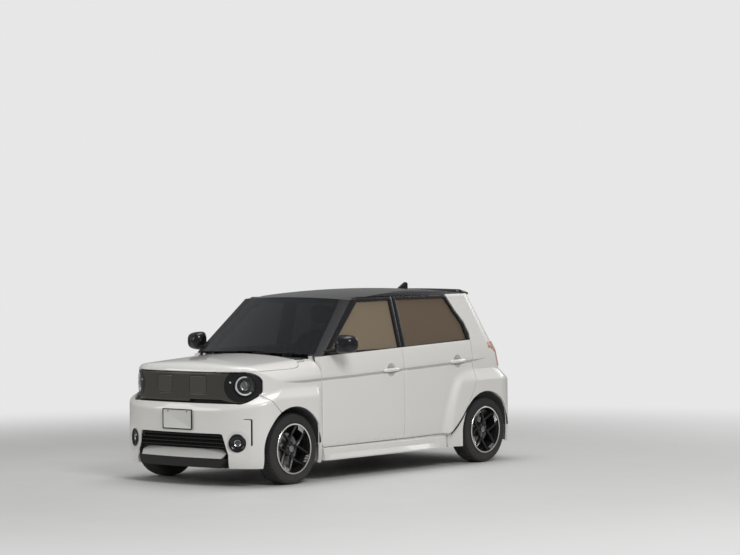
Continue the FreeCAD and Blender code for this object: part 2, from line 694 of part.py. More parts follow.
REAR_LEDGE = [(-1900.0, 560.0), (-1790.0, 640.0), (-1700.0, 715.0), (-1600.0, 745.0), (-1500.0, 745.0), (-1500.0, 950.0), (-1900.0, 950.0)]
TAIL_FACE = [
    (0.0, 752.0),
    (585.0, 752.0),
    (585.0, 1073.0),
    (500.0, 1440.0),
    (500.0, 1700.0),
    (0.0, 1700.0),
]
ROOF_BACK_X = -1262.0
ROOF_SEAM = 3 * SEAM
RAIL_Z = 1490.0
GATE_PIN_X = ROOF_BACK_X - 2.0
GATE_PIN_Y = 300.0
GATE_PIN_Z = 1505.0
GATE_PIN_R = 2.5
GATE_EYE_R = 5.0
GATE_EYE_HALF = 6.0
TAILGATE_ROOM = full_face([(0.0, 747.0), (590.0, 747.0), (590.0, 1073.0), (505.0, 1440.0), (505.0, 1700.0), (0.0, 1700.0)],
                          -1900.0, ROOF_BACK_X + ROOF_SEAM).cut(cabin(0, 0, TAIL_WALL + SEAM, 0, TAIL_WALL + SEAM))
SCREEN_FACE = [(0.0, 1030.0), (640.0, 1030.0), (505.0, 1478.0), (0.0, 1478.0)]
SCREEN_ROOM = full_face(SCREEN_FACE, 200.0, 1000.0).cut(screen_block(GLASS + SEAT_GAP))
TAIL_LAMP_FACE = [(600.0, 840.0), (720.0, 840.0), (720.0, 1060.0), (600.0, 1060.0)]
TAIL_LAMP = prism("YZ", TAIL_LAMP_FACE, -1900.0, -1400.0).cut(cabin(40.0, 40.0, 0, 0, 40.0))


TAIL_CORE = [(0.0, 762.0), (575.0, 762.0), (575.0, 1073.0), (490.0, 1440.0), (490.0, 1700.0), (0.0, 1700.0)]


def gate_rod(r, half):
    """A round on the tailgate's hinge line, at the left hinge."""
    return rod((GATE_PIN_X, GATE_PIN_Y - half, GATE_PIN_Z), (GATE_PIN_X, GATE_PIN_Y + half, GATE_PIN_Z), r)


def build_roof_and_glass():
    roof_zone = box(-1900.0, 700.0, -900.0, 900.0, RAIL_Z + SEAT_GAP, 1700.0)
    roof = BODY.cut(ROOF_INSIDE).common(roof_zone)
    header = BODY.cut(cabin(0, 0, 60.0, 45.0, 60.0)).common(
        prism("XZ", [(200.0, 1440.0), (480.0, 1440.0), (480.0, 1600.0), (200.0, 1600.0)], -480.0, 480.0))
    roof = roof.fuse(header)
    roof = roof.cut(TAILGATE_ROOM).cut(SCREEN_ROOM)
    roof = roof.common(box(ROOF_BACK_X + ROOF_SEAM, 700.0, -900.0, 900.0, 1400.0, 1700.0))
    side_cut = box(-1900.0, 900.0, 480.0 - SEAT_GAP, 900.0, 0.0, RAIL_Z + SEAT_GAP)
    roof = roof.cut(side_cut).cut(mirror(side_cut))
    root = ROOF_BACK_X + ROOF_SEAM
    ear = box(GATE_PIN_X, root + 15.0, GATE_PIN_Y - GATE_EYE_HALF, GATE_PIN_Y + GATE_EYE_HALF, GATE_PIN_Z - GATE_EYE_R, GATE_PIN_Z + 2.0)
    ear = ear.fuse(gate_rod(GATE_EYE_R, GATE_EYE_HALF)).cut(gate_rod(GATE_PIN_R + SEAT_GAP, 40.0))
    roof = roof.fuse([ear, mirror(ear)])
    save("roof_panel", roof)
    screen = full_face([(p[0] - SEAT_GAP if p[0] > 0 else 0.0, p[1]) for p in SCREEN_FACE], 200.0, 1000.0)
    screen = screen.common(BODY).cut(screen_block(GLASS))
    save("windscreen", screen)
    gate = BODY.cut(cabin(0, 0, 45.0, 0, TAIL_WALL)).common(full_face(TAIL_FACE, -1900.0, ROOF_BACK_X))
    window = full_face([(0.0, 1092.0), (505.0, 1092.0), (440.0, 1420.0), (0.0, 1420.0)], -1900.0, -1000.0)
    gate = gate.cut(window)
    rim = full_face(TAIL_FACE, -1900.0, ROOF_BACK_X).cut(full_face(TAIL_CORE, -1900.0, ROOF_BACK_X))
    gate = gate.cut(rim.common(cabin(0, 0, 12.0, 0, 12.0)))
    notch = box(GATE_PIN_X - 10.0, ROOF_BACK_X + 1.0, GATE_PIN_Y - 11.0, GATE_PIN_Y + 11.0, 1400.0, 1600.0)
    pin = gate_rod(GATE_PIN_R, 15.0)
    gate = gate.cut(notch).cut(mirror(notch)).fuse([pin, mirror(pin)])
    save("tailgate", gate)
    glass = full_face([(0.0, 1092.0 + SEAT_GAP), (505.0 - SEAT_GAP, 1092.0 + SEAT_GAP),
                       (440.0 - SEAT_GAP, 1420.0 - SEAT_GAP), (0.0, 1420.0 - SEAT_GAP)], -1900.0, -1000.0)
    glass = glass.common(cabin(0, 0, 0, 0, 10.0)).cut(cabin(0, 0, 0, 0, 10.0 + GLASS))
    save("tailgate_glass", glass)
    lamps = TAIL_LAMP.common(cabin(-6.0, -6.0, 0, 0, -6.0)).cut(cabin(39.0, 39.0, 0, 0, 39.0))
    save("tail_lamps", both(lamps))
    spoiler = prism("XZ", [(-1290.0, 1534.0), (-1450.0, 1498.0), (-1448.0, 1462.0), (-1330.0, 1494.0)], -480.0, 480.0)
    spoiler = spoiler.cut(BODY)
    save("rear_spoiler", spoiler)
    fin = prism("XZ", [(-990.0, 1520.0), (-1140.0, 1500.0), (-1140.0, 1580.0), (-1120.0, 1592.0)], -14.0, 14.0).cut(BODY)
    save("antenna_fin", fin)


def build_rear():
    zone = box(-1800.0, -1500.0 - SEAT_GAP, -900.0, 900.0, SILL_Z, 900.0)
    ledge = prism("XZ", REAR_LEDGE, -590.0, 590.0)
    under = prism("XZ", [(p[0] + SKIN_WALL, p[1] - SKIN_WALL) for p in REAR_LEDGE], -900.0, 900.0)
    inner = REAR_LOW_IN.cut(under).common(box(-1800.0, -1000.0, -900.0, 900.0, 0.0, 715.0))
    bumper = REAR_LOW.cut(inner).common(zone).cut(ledge).cut(REAR_ARCH)
    bumper = bumper.cut(BODY.common(box(-1900.0, 0.0, -900.0, 900.0, 745.0 - SEAT_GAP, 1000.0)))
    save("rear_bumper", bumper)


def build_skirts():
    section = [(DOOR_Y - 48.0, 262.0), (DOOR_Y + 2.0, 264.0), (FLARE_Y - 2.0, 215.0), (FLARE_Y - 2.0, SILL_Z), (DOOR_Y - 48.0, SILL_Z)]
    skirt = prism("YZ", section, -700.0, 846.0).cut(BODY)
    skirt = skirt.cut(FRONT_ARCH).cut(REAR_ARCH).cut(REAR_LOW)
    save("side_skirts", both(skirt))


ARM_TOP_Z = 226.0
KNUCKLE_Z = 234.0
WALL_X = 840.0
WALL_TOP = 940.0
RAIL_Y = 368.0


def build_floor():
    half = DOOR_Y - DOOR_WALL - SWING_GAP - PILLAR_WALL - SEAT_GAP
    floor = box(-860.0, 880.0, -half, half, 300.0, 325.0)
    wall = prism("XZ", [(WALL_X, 325.0), (WALL_X, WALL_TOP), (WALL_X + 30.0, WALL_TOP), (WALL_X + 30.0, 325.0)], -half + 5.0, half - 5.0)
    rear = prism("XZ", [(-860.0, 300.0), (-900.0, 470.0), (-1500.0, 470.0), (-1500.0, 495.0), (-885.0, 495.0), (-835.0, 300.0)], -half, half)
    rear = rear.cut(REAR_ARCH)
    rail = prism("XZ", [(WALL_X + 20.0, 330.0), (1000.0, 380.0), (1640.0 - SEAT_GAP, 430.0), (1640.0 - SEAT_GAP, 530.0),
                        (1000.0, 480.0), (WALL_X + 20.0, 460.0)], RAIL_Y - 25.0, RAIL_Y + 25.0)
    feet = [box(x, x + 50.0, RAIL_Y - 20.0, RAIL_Y + 20.0, 250.0, 420.0) for x in (1000.0, 1400.0)]
    rail = rail.fuse(feet)
    floor = floor.cut(FRONT_ARCH).fuse([wall.cut(FRONT_ARCH), rear, rail, mirror(rail)])
    save("floor_pan", floor.common(CABIN_SIDES))
    battery = box(-760.0, 780.0, -520.0, 520.0, 172.0, 300.0 - SEAT_GAP)
    save("battery_pack", battery)
    motor = box(1020.0, 1420.0, -330.0, 330.0, 250.0, 620.0)
    save("drive_motor", motor)
    frame = box(960.0, 1480.0, -395.0, 395.0, 200.0, 250.0 - SEAT_GAP)
    half = [(385.0, 130.0), (480.0, 80.0), (KINGPIN_Y + 15.0, 26.0)]
    arm = prism("XY", [(FRONT_AXLE_X + w, y) for y, w in half] + [(FRONT_AXLE_X - w, y) for y, w in reversed(half)],
                205.0, ARM_TOP_Z)
    arm = arm.fuse(post(FRONT_AXLE_X, KINGPIN_Y, 14.0, ARM_TOP_Z, KNUCKLE_Z - SEAT_GAP))
    save("front_subframe", frame.fuse([arm, mirror(arm)]))
    beam = rod((REAR_AXLE_X + 60.0, -500.0, 300.0), (REAR_AXLE_X + 60.0, 500.0, 300.0), 38.0)
    trail = prism("XZ", [(-790.0, 300.0 - SEAT_GAP), (-790.0, 250.0), (REAR_AXLE_X - 40.0, 240.0), (REAR_AXLE_X - 40.0, 330.0),
                         (-905.0, 330.0), (-875.0, 300.0 - SEAT_GAP)], 455.0, 505.0)
    stub = rod((REAR_AXLE_X, 480.0, HUB_Z), (REAR_AXLE_X, TYRE_Y + 30.0, HUB_Z), STUB_R)
    save("rear_axle_beam", beam.fuse([trail, mirror(trail), stub, mirror(stub)]))


def build_liners():
    parts = []
    for x, low_y in ((FRONT_AXLE_X, HOUSE_Y), (REAR_AXLE_X, HOUSE_Y + 120.0)):
        ring = wheel_hole(x, ARCH_R - SEAT_GAP, low_y, 760.0).cut(wheel_hole(x, ARCH_R - 5.0, low_y - 1.0, 761.0))
        ring = ring.common(box(x - 400.0, x + 400.0, 0.0, 900.0, HUB_Z + 30.0, 900.0))
        parts.append(ring)
    save("wheel_liners", both(Part.makeCompound(parts)))


# Steering wheel: its centre, the column's lean and the column's radius.
WHEEL_AT = (430.0, -330.0, 900.0)
COLUMN_LEAN = 62.0
COLUMN_R = 22.0


def steering_place(shape):
    """Moves a shape from the steering wheel's own frame, with the column along Z, to its place in the car."""
    shape = shape.copy()
    shape.rotate(V(0, 0, 0), V(0, 1, 0), -COLUMN_LEAN)
    shape.translate(V(*WHEEL_AT))
    return shape


def build_inside():
    front = WALL_X - SEAT_GAP
    dash = prism("XZ", [(front, 700.0), (front, 975.0), (560.0, 985.0), (500.0, 930.0, 520.0, 850.0), (640.0, 700.0)], -560.0, 560.0)
    bore = Part.makeCylinder(COLUMN_R + SEAT_GAP, 120.0, V(0, 0, -105.0), V(0, 0, 1))
    dash = dash.cut(steering_place(bore))
    save("dashboard", dash)
    seat = prism("XZ", [(360.0, 325.0 + SEAT_GAP), (400.0, 540.0), (370.0, 590.0, 300.0, 600.0), (-90.0, 560.0), (-300.0, 1190.0),
                        (-340.0, 1230.0, -390.0, 1200.0), (-240.0, 480.0), (-160.0, 325.0 + SEAT_GAP)], 110.0, 540.0)
    head = prism("XZ", [(-330.0, 1225.0), (-300.0, 1380.0), (-330.0, 1410.0, -370.0, 1400.0), (-400.0, 1225.0)], 210.0, 440.0)
    save("front_seats", both(seat.fuse(head)))
    bench = prism("XZ", [(-520.0, 495.0 + SEAT_GAP), (-520.0, 600.0), (-560.0, 640.0, -620.0, 640.0), (-960.0, 610.0),
                         (-1110.0, 1150.0), (-1150.0, 1180.0, -1200.0, 1150.0), (-1060.0, 495.0 + SEAT_GAP)], -520.0, 520.0)
    riser = prism("XZ", [(-560.0, 325.0 + SEAT_GAP), (-560.0, 500.0), (-884.0, 500.0), (-884.0, 495.0 + SEAT_GAP),
                         (-840.8, 325.0 + SEAT_GAP)], -500.0, 500.0)
    bench = bench.fuse(riser)
    save("rear_seat", bench.cut(REAR_ARCH))
    top = WALL_TOP + SEAT_GAP
    cowl = prism("XZ", [(WALL_X + 5.0, top), (WALL_X + 5.0, top + 20.0), (880.0, 1004.0), (925.0, 1006.0), (990.0, 990.0),
                        (990.0, 970.0), (940.0, top)], -590.0, 590.0)
    cowl = cowl.cut(BODY.cut(screen_block(-2.0)))
    save("cowl_panel", cowl)
    blade = []
    for x, y, end_x in ((922.0, -560.0, 938.0), (948.0, 60.0, 905.0)):
        pivot = rod((x, y, 980.0), (x, y, 1042.0), 9.0)
        arm = rod((x, y, 1034.0), (end_x, y + 430.0, 1044.0), 6.0)
        blade.append(arm.fuse(pivot).cut(cowl))
    save("wipers", Part.makeCompound(blade))


WHEEL_NAMES = (("front", FRONT_AXLE_X), ("rear", REAR_AXLE_X))


def turned(steps):
    """A ring made by turning a profile of radius and width about the wheel's axis."""
    return Part.Face(outline("XY", steps, 0.0)).revolve(V(0, 0, 0), V(0, 1, 0), 360)


def flats(r, count, y):
    """A regular outline about the wheel's axis, with flats at the given radius and one of them at the bottom."""
    turn = 2 * math.pi / count
    far = r / math.cos(turn / 2)
    start = -math.pi / 2 + turn / 2
    return outline("XZ", [(far * math.cos(start + turn * i), far * math.sin(start + turn * i)) for i in range(count)], y)


def flat_round(r, count, y0, y1):
    return Part.Face(flats(r, count, y0)).extrude(V(0, y1 - y0, 0))


def flat_sided(levels, count):
    """A closed body of flat quads between regular outlines. Levels are the place along the axis and the radius."""
    rings = []
    for y, r in levels:
        rings.append([v.Point for v in flats(r, count, y).OrderedVertexes])
    faces = [Part.Face(Part.makePolygon(rings[0] + rings[0][:1])), Part.Face(Part.makePolygon(rings[-1] + rings[-1][:1]))]
    for a, b in zip(rings, rings[1:]):
        for i in range(count):
            j = (i + 1) % count
            faces.append(Part.Face(Part.makePolygon([a[i], a[j], b[j], b[i], a[i]])))
    shell = Part.makeShell(faces)
    shell.sewShape()
    solid = Part.makeSolid(shell)
    if solid.Volume < 0:
        solid.reverse()
    return solid


def tyre():
    """Tread and shoulders in flats, between two sidewalls that bulge past the rim."""
    w = TYRE_WIDTH / 2
    levels = [(-w, TYRE_R - 44.0), (-w + 8.0, TYRE_R - 14.0), (-w + 26.0, TYRE_R), (w - 26.0, TYRE_R),
              (w - 8.0, TYRE_R - 14.0), (w, TYRE_R - 44.0)]
    body = flat_sided(levels, TYRE_FLATS)
    return body.cut(Part.makeCylinder(RIM_SEAT_R, 2 * w + 2, V(0, -w - 1, 0), V(0, 1, 0)))


def rim():
    half = RIM_HALF
    w = TYRE_WIDTH / 2
    seat = RIM_SEAT_R - SEAT_GAP
    well = RIM_SEAT_R - 13.0
    barrel = turned([(seat, -half), (seat, half - 4.0), (seat, w + SEAT_GAP), (RIM_LIP_R, w + SEAT_GAP),
                     (RIM_LIP_R, w + 4.0), (well, w + 4.0), (well, -half)])
    hub = flat_round(62.0, 16, half - 62.0, half - 22.0)
    arms = []
    for turn in range(4):
        for lean in (-17.0, 17.0):
            arm = prism("XY", [(20.0, half - 46.0), (well + 2.0, half - 34.0), (well + 2.0, half - 6.0),
                               (40.0, half - 22.0)], -11.0, 11.0)
            arm.rotate(V(0, 0, 0), V(0, 1, 0), 57.0 + 90.0 * turn + lean)
            arms.append(arm)
    disc = flat_round(128.0, 24, -6.0, 6.0)
    hat = flat_round(60.0, 16, -6.0, half - 60.0)
    bore = Part.makeCylinder(STUB_R + SEAT_GAP, 60.0, V(0, -20.0, 0), V(0, 1, 0))
    return barrel.fuse([hub, disc, hat] + arms).cut(bore)


def build_wheels():
    ring = tyre()
    wheel = rim()
    for name, x in WHEEL_NAMES:
        for side, turn in (("left", lambda s: s), ("right", mirror)):
            for part, shape in (("tyre", ring), ("wheel", wheel)):
                placed = shape.copy()
                placed.translate(V(x, TYRE_Y, HUB_Z))
                save(part + "_" + name + "_" + side, turn(placed))


def build_steering():
    x = FRONT_AXLE_X
    upright = box(x - 35.0, x + 35.0, KINGPIN_Y - 38.0, KINGPIN_Y + 20.0, KNUCKLE_Z, 400.0)
    stub = rod((x, KINGPIN_Y, HUB_Z), (x, TYRE_Y + 30.0, HUB_Z), STUB_R)
    knuckle = upright.fuse(stub)
    save("front_knuckle_left", knuckle)
    save("front_knuckle_right", mirror(knuckle))
    outer = [flats(r, 32, y) for y, r in ((-13.0, 180.0), (0.0, 189.0), (13.0, 180.0))]
    inner = [flats(r, 32, y) for y, r in ((-13.0, 172.0), (0.0, 163.0), (13.0, 172.0))]
    ring = Part.makeLoft(outer, True, True).cut(Part.makeLoft(inner, True, True))
    ring.rotate(V(0, 0, 0), V(1, 0, 0), 90.0)
    boss = Part.makeCylinder(45.0, 50.0, V(0, 0, -30.0), V(0, 0, 1))
    spokes = [box(-170.0, 170.0, -14.0, 14.0, -8.0, 8.0), box(-14.0, 14.0, -170.0, 0.0, -8.0, 8.0)]
    column = Part.makeCylinder(COLUMN_R, 90.0, V(0, 0, -100.0), V(0, 0, 1))
    wheel = ring.fuse([boss, column] + spokes)
    wheel.rotate(V(0, 0, 0), V(0, 0, 1), -90.0)
    save("steering_wheel", steering_place(wheel))


build_doors()
build_mirrors()
build_nose()
build_body_sides()
build_roof_and_glass()
build_rear()
build_skirts()
build_floor()
build_liners()
build_inside()
build_wheels()
build_steering()
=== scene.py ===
"""Looks of a small electric hatchback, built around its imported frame.

Lengths in the tables below are millimetres in the car's own frame: X to the front, Y to the left, Z up.
"""

import math

import bmesh
import bpy
from mathutils import Matrix, Vector
from mathutils.geometry import delaunay_2d_cdt
from mathutils.kdtree import KDTree


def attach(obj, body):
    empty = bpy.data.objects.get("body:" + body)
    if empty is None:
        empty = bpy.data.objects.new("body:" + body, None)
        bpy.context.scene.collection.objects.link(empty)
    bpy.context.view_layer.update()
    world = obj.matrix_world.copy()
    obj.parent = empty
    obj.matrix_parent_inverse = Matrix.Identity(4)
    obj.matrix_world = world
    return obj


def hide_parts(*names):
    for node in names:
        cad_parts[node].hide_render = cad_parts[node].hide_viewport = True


bl_info = {
    "name": "Kei Car Looks",
    "version": (1, 0, 0),
    "blender": (4, 5, 0),
    "location": "3D View > Sidebar > Kei Car",
    "description": "Dresses the frame of a small electric hatchback",
    "category": "Object",
}

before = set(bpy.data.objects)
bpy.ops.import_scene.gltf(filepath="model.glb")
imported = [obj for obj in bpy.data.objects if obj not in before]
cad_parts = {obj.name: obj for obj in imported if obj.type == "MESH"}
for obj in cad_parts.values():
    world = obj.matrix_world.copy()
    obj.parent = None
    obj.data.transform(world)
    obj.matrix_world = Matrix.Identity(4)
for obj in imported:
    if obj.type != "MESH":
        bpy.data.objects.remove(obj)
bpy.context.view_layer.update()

AXLE_X = {"front": 1231, "rear": -1289}
WHEEL_Y = 675.5
HUB_Z = 288
ARCH_R = 343
SIDES = (("left", 1), ("right", -1))
FLIPS = (1, -1)
AHEAD = (1, 0, 0)
BEHIND = (-1, 0, 0)
SIDEWAYS = (0, 1, 0)


# Sizes and colours that a user may change.


def length(name, text, default):
    return bpy.props.FloatProperty(name=name, description=text, default=default, unit="LENGTH")


def number(name, text, default, least, most):
    return bpy.props.IntProperty(name=name, description=text, default=default, min=least, max=most)


def tint(name, text, default):
    return bpy.props.FloatVectorProperty(name=name, description=text, subtype="COLOR", default=default)


class CarSizes(bpy.types.PropertyGroup):
    tread_depth: length("Tread depth", "How far the tread blocks stand off the tyre", 0.006)
    tread_rows: number("Tread blocks", "Blocks round one tyre", 66, 24, 120)
    rim_edge: length("Rim edge", "Width of the bright edge of the rims", 0.013)
    spoke_width: length("Spoke width", "Width of a spoke's arm", 0.020)
    slat_count: number("Intake slats", "Slats in the lower intake", 9, 3, 20)
    mesh_count: number("Intake bars", "Upright bars in the lower intake", 46, 10, 90)


class CarColours(bpy.types.PropertyGroup):
    paint: tint("Body paint", "Pearl white of the body", (0.80, 0.79, 0.755))
    roof: tint("Roof paint", "Black of the roof, pillars and mirrors", (0.007, 0.007, 0.009))
    panel: tint("Front panel", "Dark olive grey of the front panel", (0.052, 0.050, 0.040))
    cloth: tint("Seat cloth", "Grey of the seat covers", (0.10, 0.105, 0.11))
    rim: tint("Rims", "Black of the rims", (0.007, 0.007, 0.008))


# Node trees.


def feed(tree, made, values):
    """Sets a node's inputs. A value that is another node's output becomes a link."""
    for key, value in values.items():
        if isinstance(value, bpy.types.NodeSocket):
            tree.links.new(value, made.inputs[key])
        else:
            made.inputs[key].default_value = value


def node(tree, kind, values=None, **settings):
    made = tree.nodes.new(kind)
    for key, value in settings.items():
        setattr(made, key, value)
    feed(tree, made, values or {})
    return made


def calc(tree, operation, *values, clamp=False):
    return node(tree, "ShaderNodeMath", dict(enumerate(values)), operation=operation, use_clamp=clamp).outputs[0]


def ramp(tree, value, low, high, **settings):
    """Rises from 0 to 1 between two levels."""
    return node(tree, "ShaderNodeMapRange", {"Value": value, "From Min": low, "From Max": high}, **settings).outputs[0]


def blend(tree, share, first, second):
    values = {"Factor": share, "A": first, "B": second}
    return node(tree, "ShaderNodeMix", values, data_type="RGBA").outputs["Result"]


def reach(tree, vector):
    return node(tree, "ShaderNodeVectorMath", {0: vector}, operation="LENGTH").outputs["Value"]


def object_place(tree):
    return tree.nodes.new("ShaderNodeTexCoord").outputs["Object"]


def axes(tree, vector):
    return node(tree, "ShaderNodeSeparateXYZ", {0: vector}).outputs


def new_group(name, kind, inputs, outputs):
    """A node group and its sockets on the inside. Each socket is given as (name, type), some with a value."""
    tree = bpy.data.node_groups.new(name, kind)
    for way, sockets in (("INPUT", inputs), ("OUTPUT", outputs)):
        for label, sort, *value in sockets:
            socket = tree.interface.new_socket(name=label, in_out=way, socket_type="NodeSocket" + sort)
            if value:
                socket.default_value = value[0]
    return tree, tree.nodes.new("NodeGroupInput").outputs, tree.nodes.new("NodeGroupOutput")


def build_tone_group():
    """Slight drift of a colour over a surface, with road dust low on the car."""
    tree, given, out = new_group(
        "tone drift", "ShaderNodeTree",
        (("Colour", "Color", (0.5, 0.5, 0.5, 1)), ("Drift", "Float", 0.05), ("Size", "Float", 3),
         ("Dust", "Float", 0.1), ("Roughness", "Float", 0.4)), (("Colour", "Color"), ("Roughness", "Float")))
    place = object_place(tree)
    noise = node(tree, "ShaderNodeTexNoise",
                 {"Vector": place, "Scale": given["Size"], "Detail": 4, "Roughness": 0.55})
    swing = calc(tree, "SUBTRACT", noise.outputs["Fac"], 0.5)
    level = calc(tree, "ADD", calc(tree, "MULTIPLY", swing, given["Drift"]), 1)
    shaded = node(tree, "ShaderNodeVectorMath", {0: given["Colour"], "Scale": level}, operation="SCALE")
    patch = node(tree, "ShaderNodeTexNoise", {"Vector": place, "Scale": 26, "Detail": 6, "Roughness": 0.7})
    film = calc(tree, "MULTIPLY", ramp(tree, axes(tree, place)["Z"], 0.42, 0.02), patch.outputs["Fac"])
    dust = calc(tree, "MULTIPLY", film, given["Dust"], clamp=True)
    dull = calc(tree, "MULTIPLY_ADD", swing, given["Drift"], given["Roughness"])
    feed(tree, out, {"Colour": blend(tree, dust, shaded.outputs[0], (0.20, 0.18, 0.15, 1)),
                     "Roughness": calc(tree, "ADD", dull, calc(tree, "MULTIPLY", dust, 0.35), clamp=True)})


def build_grain_group():
    """Height of a moulded grain, or of the faint waves in paint."""
    tree, given, out = new_group("surface grain", "ShaderNodeTree",
                                 (("Size", "Float", 300), ("Waves", "Float", 0)), (("Height", "Float"),))
    where = {"Vector": object_place(tree), "Scale": given["Size"]}
    cells = node(tree, "ShaderNodeTexVoronoi", where).outputs["Distance"]
    waves = node(tree, "ShaderNodeTexNoise", {**where, "Detail": 2}).outputs["Fac"]
    pick = node(tree, "ShaderNodeMix", {"Factor": given["Waves"], "A": cells, "B": waves})
    feed(tree, out, {"Height": pick.outputs["Result"]})


def build_weave_group():
    """Crossed threads of a seat cover."""
    tree, given, out = new_group(
        "cloth weave", "ShaderNodeTree",
        (("Light", "Color", (0.2, 0.2, 0.2, 1)), ("Dark", "Color", (0.05, 0.05, 0.05, 1)),
         ("Threads", "Float", 420)), (("Colour", "Color"), ("Height", "Float")))
    where = {"Vector": object_place(tree), "Scale": given["Threads"], "Distortion": 0.6, "Detail": 1}
    x, y, z = (node(tree, "ShaderNodeTexWave", where, wave_type="BANDS", bands_direction=axis).outputs["Fac"]
               for axis in "XYZ")
    height = calc(tree, "MULTIPLY", calc(tree, "MAXIMUM", x, y), z)
    feed(tree, out, {"Colour": blend(tree, height, given["Dark"], given["Light"]), "Height": height})

# Finishes.


def group_node(tree, name, values):
    return node(tree, "ShaderNodeGroup", values, node_tree=bpy.data.node_groups[name])


def add_bump(tree, height, strength, distance):
    bump = node(tree, "ShaderNodeBump", {"Height": height, "Strength": strength, "Distance": distance})
    feed(tree, tree.nodes["Principled BSDF"], {"Normal": bump.outputs["Normal"]})


def finish(name, colour, roughness=0.4, metallic=0, coat=0, drift=0.06, size=3, dust=0.1,
           grain=0, grain_size=300, waves=0, **shader_values):
    """A material: the shader, its colour through the tone group, and the grain's bump."""
    made = bpy.data.materials.new(name)
    made.use_nodes = True
    tree = made.node_tree
    tone = group_node(tree, "tone drift", {"Colour": (*colour, 1), "Drift": drift, "Size": size, "Dust": dust,
                                           "Roughness": roughness})
    tone.name = "tone"
    feed(tree, tree.nodes["Principled BSDF"],
         {"Metallic": metallic, "Coat Weight": coat, "Base Color": tone.outputs["Colour"],
          "Roughness": tone.outputs["Roughness"],
          **{key.replace("_", " "): value for key, value in shader_values.items()}})
    if grain:
        height = group_node(tree, "surface grain", {"Size": grain_size, "Waves": waves})
        add_bump(tree, height.outputs["Height"], grain, 0.001)
    return tree


def two_tone(name, first, second, mask, **values):
    """A finish whose colour is the second one wherever the mask, built on object coordinates, is 1."""
    tree = finish(name, first, **values)
    share = mask(tree, axes(tree, object_place(tree)))
    feed(tree, tree.nodes["tone"], {"Colour": blend(tree, share, (*first, 1), (*second, 1))})


# Where one colour meets another, in metres. A line is given as its main axis, its other axis, its lean and its level.
BELT = ("Z", "X", 0.034, 1.0455)
PILLAR_LINE = ("X", "Z", -0.05, -0.42)
SURROUND_Y, SURROUND_Z, SURROUND_R = 0.575, 0.806, 0.128
SOFT = 0.0006


def over_line(tree, place, line):
    """1 where the main coordinate, with a share of the other added, is over the line's level."""
    main, other, lean, level = line
    return ramp(tree, calc(tree, "MULTIPLY_ADD", place[other], lean, place[main]), level - SOFT, level + SOFT)


def above_belt(tree, place):
    return over_line(tree, place, BELT)


def front_pillars(tree, place):
    return calc(tree, "MULTIPLY", above_belt(tree, place), over_line(tree, place, PILLAR_LINE))


def lamp_surround(tree, place):
    """1 within the round dark surround of a headlamp, and outboard of it."""
    across = calc(tree, "SUBTRACT", SURROUND_Y, calc(tree, "ABSOLUTE", place["Y"]), clamp=True)
    spot = node(tree, "ShaderNodeCombineXYZ", {"X": across, "Y": calc(tree, "SUBTRACT", place["Z"], SURROUND_Z)})
    return ramp(tree, reach(tree, spot.outputs[0]), SURROUND_R + SOFT, SURROUND_R - SOFT)


def lens_side(tree, place):
    """1 on the side part of the tail lamps."""
    return ramp(tree, calc(tree, "ABSOLUTE", place["Y"]), 0.676, 0.688)


def cloth_finish(name, colour):
    tree = finish(name, colour, roughness=0.85, dust=0, Sheen_Weight=0.35)
    light, dark = ((*(c * share for c in colour), 1) for share in (1.5, 0.6))
    weave = group_node(tree, "cloth weave", {"Light": light, "Dark": dark})
    feed(tree, tree.nodes["tone"], {"Colour": weave.outputs["Colour"]})
    add_bump(tree, weave.outputs["Height"], 0.5, 0.0008)


def coat_of(name):
    return bpy.data.materials[name]


# Mesh making. A part is a pair of points, in millimetres, and faces.


def mesh_of(name, points, faces):
    mesh = bpy.data.meshes.new(name)
    mesh.from_pydata([(x * 0.001, y * 0.001, z * 0.001) for x, y, z in points], [], faces)
    return mesh


def opened(mesh):
    """A mesh as a bmesh, with doubles merged and faces turned outwards."""
    bm = bmesh.new()
    bm.from_mesh(mesh)
    bmesh.ops.remove_doubles(bm, verts=bm.verts, dist=1e-6)
    bmesh.ops.recalc_face_normals(bm, faces=bm.faces)
    return bm


def part_of(bm):
    """The part that a bmesh holds. The bmesh is freed."""
    bm.verts.index_update()
    points = [tuple(c * 1000 for c in v.co) for v in bm.verts]
    faces = [tuple(v.index for v in f.verts) for f in bm.faces]
    bm.free()
    return points, faces


def add_piece(name, shape, body, coat, stands_for=(), crease=35):
    """Makes an object of a part or of a ready mesh, smooth up to an angle, and puts it on its body."""
    mesh = shape if isinstance(shape, bpy.types.Mesh) else mesh_of(name, *shape)
    bm = opened(mesh)
    bm.to_mesh(mesh)
    bm.free()
    mesh.shade_smooth()
    mesh.set_sharp_from_angle(angle=math.radians(crease))
    mesh.materials.clear()
    mesh.materials.append(coat_of(coat))
    made = bpy.data.objects.new(name, mesh)
    bpy.context.scene.collection.objects.link(made)
    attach(made, body)
    if stands_for:
        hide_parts(*stands_for)
    return made


def merge_parts(parts):
    points = []
    faces = []
    for some_points, some_faces in parts:
        start = len(points)
        points += some_points
        faces += [tuple(i + start for i in face) for face in some_faces]
    return points, faces


def moved(part, flip=1, shift=(0, 0, 0)):
    """A part shifted, then mirrored across the car's middle if flip is -1."""
    points, faces = part
    return [(x + shift[0], (y + shift[1]) * flip, z + shift[2]) for x, y, z in points], faces


def both_sides(part):
    return merge_parts([part, moved(part, -1)])


def turned_part(part, matrix):
    points, faces = part
    return [tuple(matrix @ Vector(p)) for p in points], faces


def both_ways(places):
    """The same places on both sides of the middle, which is the first of them."""
    return [-y for y in places[:0:-1]] + list(places)


def turns(count):
    """Even angles round a circle."""
    return [2 * math.pi * i / count for i in range(count)]


